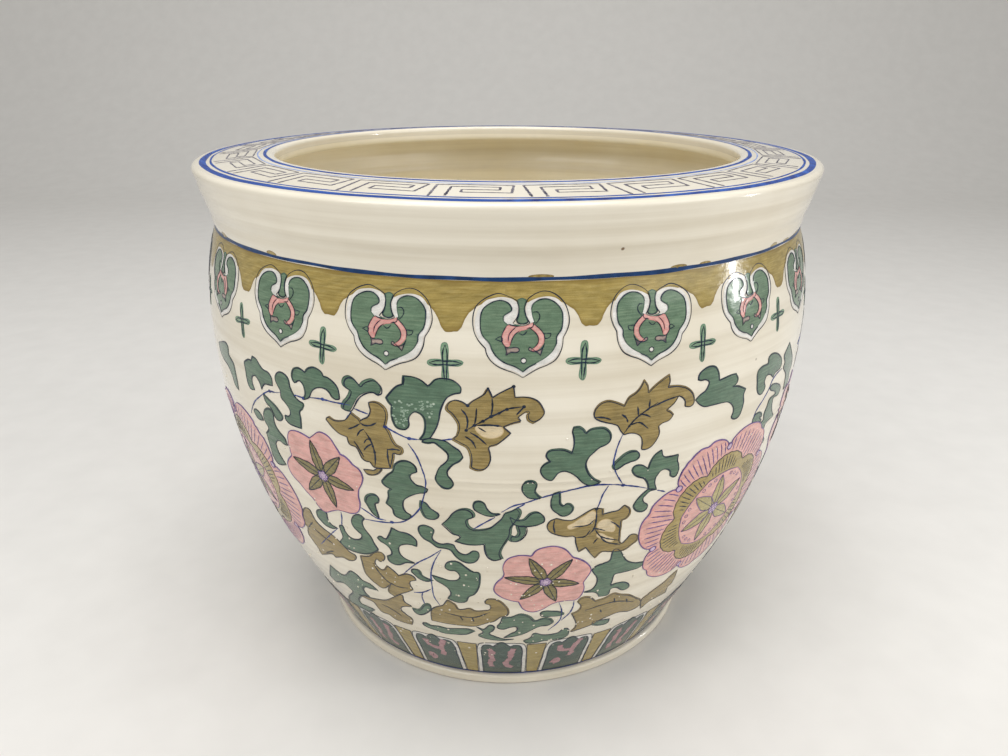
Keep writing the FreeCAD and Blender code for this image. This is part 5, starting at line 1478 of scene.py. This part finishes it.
def large_flowers():
    pink = Paint("flowers_pink", PINK, "pink_enamel")
    olive = Paint("flowers_olive", OLIVE, "olive_enamel")
    star = Paint("flowers_star", PALE_STAR, "olive_enamel")
    heart = Paint("flowers_heart", LILAC, "pink_enamel")
    violet = Paint("flowers_violet", VIOLET, "ink_enamel")
    ink = Paint("flowers_ink", INK, "ink_enamel")

    def fill(paint, points, lift):
        paint.fill(placed(points, 0.0, FLOWER_RUN), lift, FLOWER_COPIES)

    def stroke(paint, points, line, seed, closed=True):
        paint.stroke(placed(points, 0.0, FLOWER_RUN), line, seed, FLOWER_COPIES, closed)

    gaps = list(zip(NOTCHES, NOTCHES[1:] + (NOTCHES[0] - 360,)))
    petals, ring_edge, ring_inside = [], [], []
    share = np.linspace(0, 1, 26)[:-1]
    swell = np.sin(math.pi * share) ** 0.42
    dent = 1.6 * np.exp(-(((share - 0.62) / 0.06) ** 2))
    scallop = 0.5 * np.abs(np.sin(7 * math.pi * share))
    for start, end in gaps:
        turns = start + (end - start) * share
        petals.append(polar(turns, NOTCH_RADIUS + (PETAL_RADIUS - NOTCH_RADIUS) * swell - dent))
        ring_edge.append(polar(turns, RING_NECK + (RING_OUT - RING_NECK) * ring_lobe(share) + scallop))
        ring_inside.append(polar(turns, RING_IN - 1.2 * ring_lobe(share)))
    # Paint, edge, lift, and the paint and line of its outline
    layers = (
        (pink, petals, 0.27, violet, (0.65, 0.34)),
        (olive, ring_edge, 0.34, ink, (0.45, 0.4)),
        (pink, ring_inside, 0.4, violet, (0.45, 0.45)),
    )
    for seed, (paint, parts, lift, edge, line) in enumerate(layers, 1):
        fill(paint, np.vstack(parts), lift)
        stroke(edge, np.vstack(parts), line, seed)
    seed = 10
    for start, end in gaps:
        for number in range(HATCH_COUNT):
            seed += 1
            part = (number + 1) / (HATCH_COUNT + 1)
            reach = 4 * part * (1 - part)
            inner = RING_NECK + (RING_OUT - RING_NECK) * ring_lobe(part) + 1.5
            outer = inner + 1.5 + (PETAL_RADIUS - HATCH_MARGIN - inner) * (0.5 + 0.42 * reach)
            bow = start + (end - start) * part + 3.0 * (part - 0.5) * np.linspace(0, 1, 6) ** 2
            stroke(violet, polar(bow, np.linspace(inner, outer, 6)), HATCH_LINE, seed, False)
        for number in RIBS:
            seed += 1
            reach = np.linspace(RING_IN + 0.6, RING_OUT - 0.35 * number * number - 0.8, 5)
            stroke(ink, polar(np.full(5, start + RIB_TURN * number), reach), RIB_LINE, seed, False)
        leaf, rib = spoke(polar(np.array([start]), STAR_RADIUS)[0], *STAR_RAY)
        fill(star, leaf, STAR_LIFT)
        stroke(violet, leaf, STAR_EDGE, seed + 200)
        stroke(ink, rib, STAR_RIB, seed + 400, False)
        for side in BEAD_PLACES:
            stroke(violet, loop(8, BEAD_SIZE, (start + end) / 2 + side, BEAD_RADIUS), BEAD_LINE, seed + 600)
        knot = loop(12, KNOT_SIZE, start, KNOT_RADIUS)
        fill(heart, knot, KNOT_LIFT)
        stroke(violet, knot, KNOT_LINE, seed + 800)
    fill(heart, polar(np.arange(MIDDLE_SIDES) * 360 / MIDDLE_SIDES, MIDDLE_SIZE), MIDDLE_LIFT)
    for turn in range(0, 360, 60):
        stroke(violet, loop(8, DOT_SIZE, turn, DOT_RADIUS), DOT_LINE, turn)


large_flowers()

for paint in Paint.made:
    paint.build()

# Clay sections under the glaze keep their shape and take a fired-clay finish
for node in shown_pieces():
    if "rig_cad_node" in node:
        node.data.materials.clear()
        node.data.materials.append(CLAY)


# Floor, light and camera

FLOOR_HALF_WIDTH, FLOOR_FRONT, FLOOR_BACK, FLOOR_BEND, FLOOR_TOP = 3.0, -1.6, 1.5, 0.8, 2.4
POT_MIDDLE = (0.0, 0.0, 0.17)
LAMPS = (
    ("key", (-0.8, -1.0, 1.5), 1.2, 11.0),
    ("top", (0.0, -0.2, 1.9), 1.3, 19.0),
    ("fill", (1.3, -0.8, 0.9), 1.0, 5.0),
)
WINDOW_PIXEL, WINDOW_DISTANCE = (735, 283), 1.2
WINDOW_WIDTH, WINDOW_HEIGHT, WINDOW_POWER = 0.08, 0.22, 2.6
WORLD_COLOUR, WORLD_STRENGTH = (1.0, 0.99, 0.97, 1.0), 0.42


def pale_floor():
    """Pale floor that sweeps up behind the pot."""
    surface = Surface("pale_floor", 0.75)
    cloud = surface.noise(surface.place(), (30, 30, 30), 2.0)
    dim, bright = shown("222,220,216 226,224,220")
    bend = [
        (FLOOR_BACK + FLOOR_BEND * math.sin(turn), FLOOR_BEND * (1 - math.cos(turn)))
        for turn in np.linspace(0, math.pi / 2, 16)
    ]
    sweep = [(FLOOR_FRONT, 0.0), *bend, (FLOOR_BACK + FLOOR_BEND, FLOOR_TOP)]
    points = [(side * FLOOR_HALF_WIDTH, y, z) for y, z in sweep for side in (-1, 1)]
    faces = [(2 * i, 2 * i + 1, 2 * i + 3, 2 * i + 2) for i in range(len(sweep) - 1)]
    mesh = bpy.data.meshes.new("pale_floor")
    mesh.from_pydata(points, [], faces)
    mesh.materials.append(surface.colour(surface.ramp(cloud, (0.3, dim), (0.7, bright))))
    mesh.polygons.foreach_set("use_smooth", np.ones(len(mesh.polygons), bool))
    floor = bpy.data.objects.new("pale_floor", mesh)
    bpy.context.scene.collection.objects.link(floor)


def soft_lamp(name, place, aim, width, height, power):
    lamp = bpy.data.lights.new(name, "AREA")
    lamp.energy = power
    lamp.shape = "RECTANGLE"
    lamp.size, lamp.size_y = width, height
    holder = bpy.data.objects.new(name, lamp)
    holder.location = place
    holder.rotation_euler = (Vector(aim) - Vector(place)).to_track_quat("-Z", "Y").to_euler()
    bpy.context.scene.collection.objects.link(holder)


def mirrored_sight(pixel, distance):
    """Place from which a lamp shines back to the camera off the glaze at a pixel, and the point there."""
    angle, run = from_photo(np.array([pixel], float))[0]
    point = Vector(on_pot(angle, run, 0.0))
    normal = (Vector(on_pot(angle, run, MM)) - point).normalized()
    sight = (CAMERA_PLACE - point).normalized()
    return point + (2 * normal.dot(sight) * normal - sight) * distance, point


def studio():
    scene = bpy.context.scene
    world = bpy.data.worlds.new("studio")
    world.use_nodes = True
    back = world.node_tree.nodes["Background"]
    back.inputs["Color"].default_value = WORLD_COLOUR
    back.inputs["Strength"].default_value = WORLD_STRENGTH
    scene.world = world
    for name, place, size, power in LAMPS:
        soft_lamp(name, place, POT_MIDDLE, size, size, power)
    glint, glint_point = mirrored_sight(WINDOW_PIXEL, WINDOW_DISTANCE)
    soft_lamp("window", glint, glint_point, WINDOW_WIDTH, WINDOW_HEIGHT, WINDOW_POWER)
    scene.view_settings.view_transform = "Standard"
    camera = bpy.data.cameras.new("camera")
    camera.sensor_width = SENSOR_WIDTH
    camera.sensor_fit = "HORIZONTAL"
    camera.lens = SENSOR_WIDTH * FOCAL_PIXELS / PHOTO_WIDTH
    camera.clip_start = 0.01
    holder = bpy.data.objects.new("camera", camera)
    holder.matrix_world = Matrix.Translation(CAMERA_PLACE) @ CAMERA_TURN.to_4x4()
    scene.collection.objects.link(holder)
    scene.camera = holder


pale_floor()
studio()
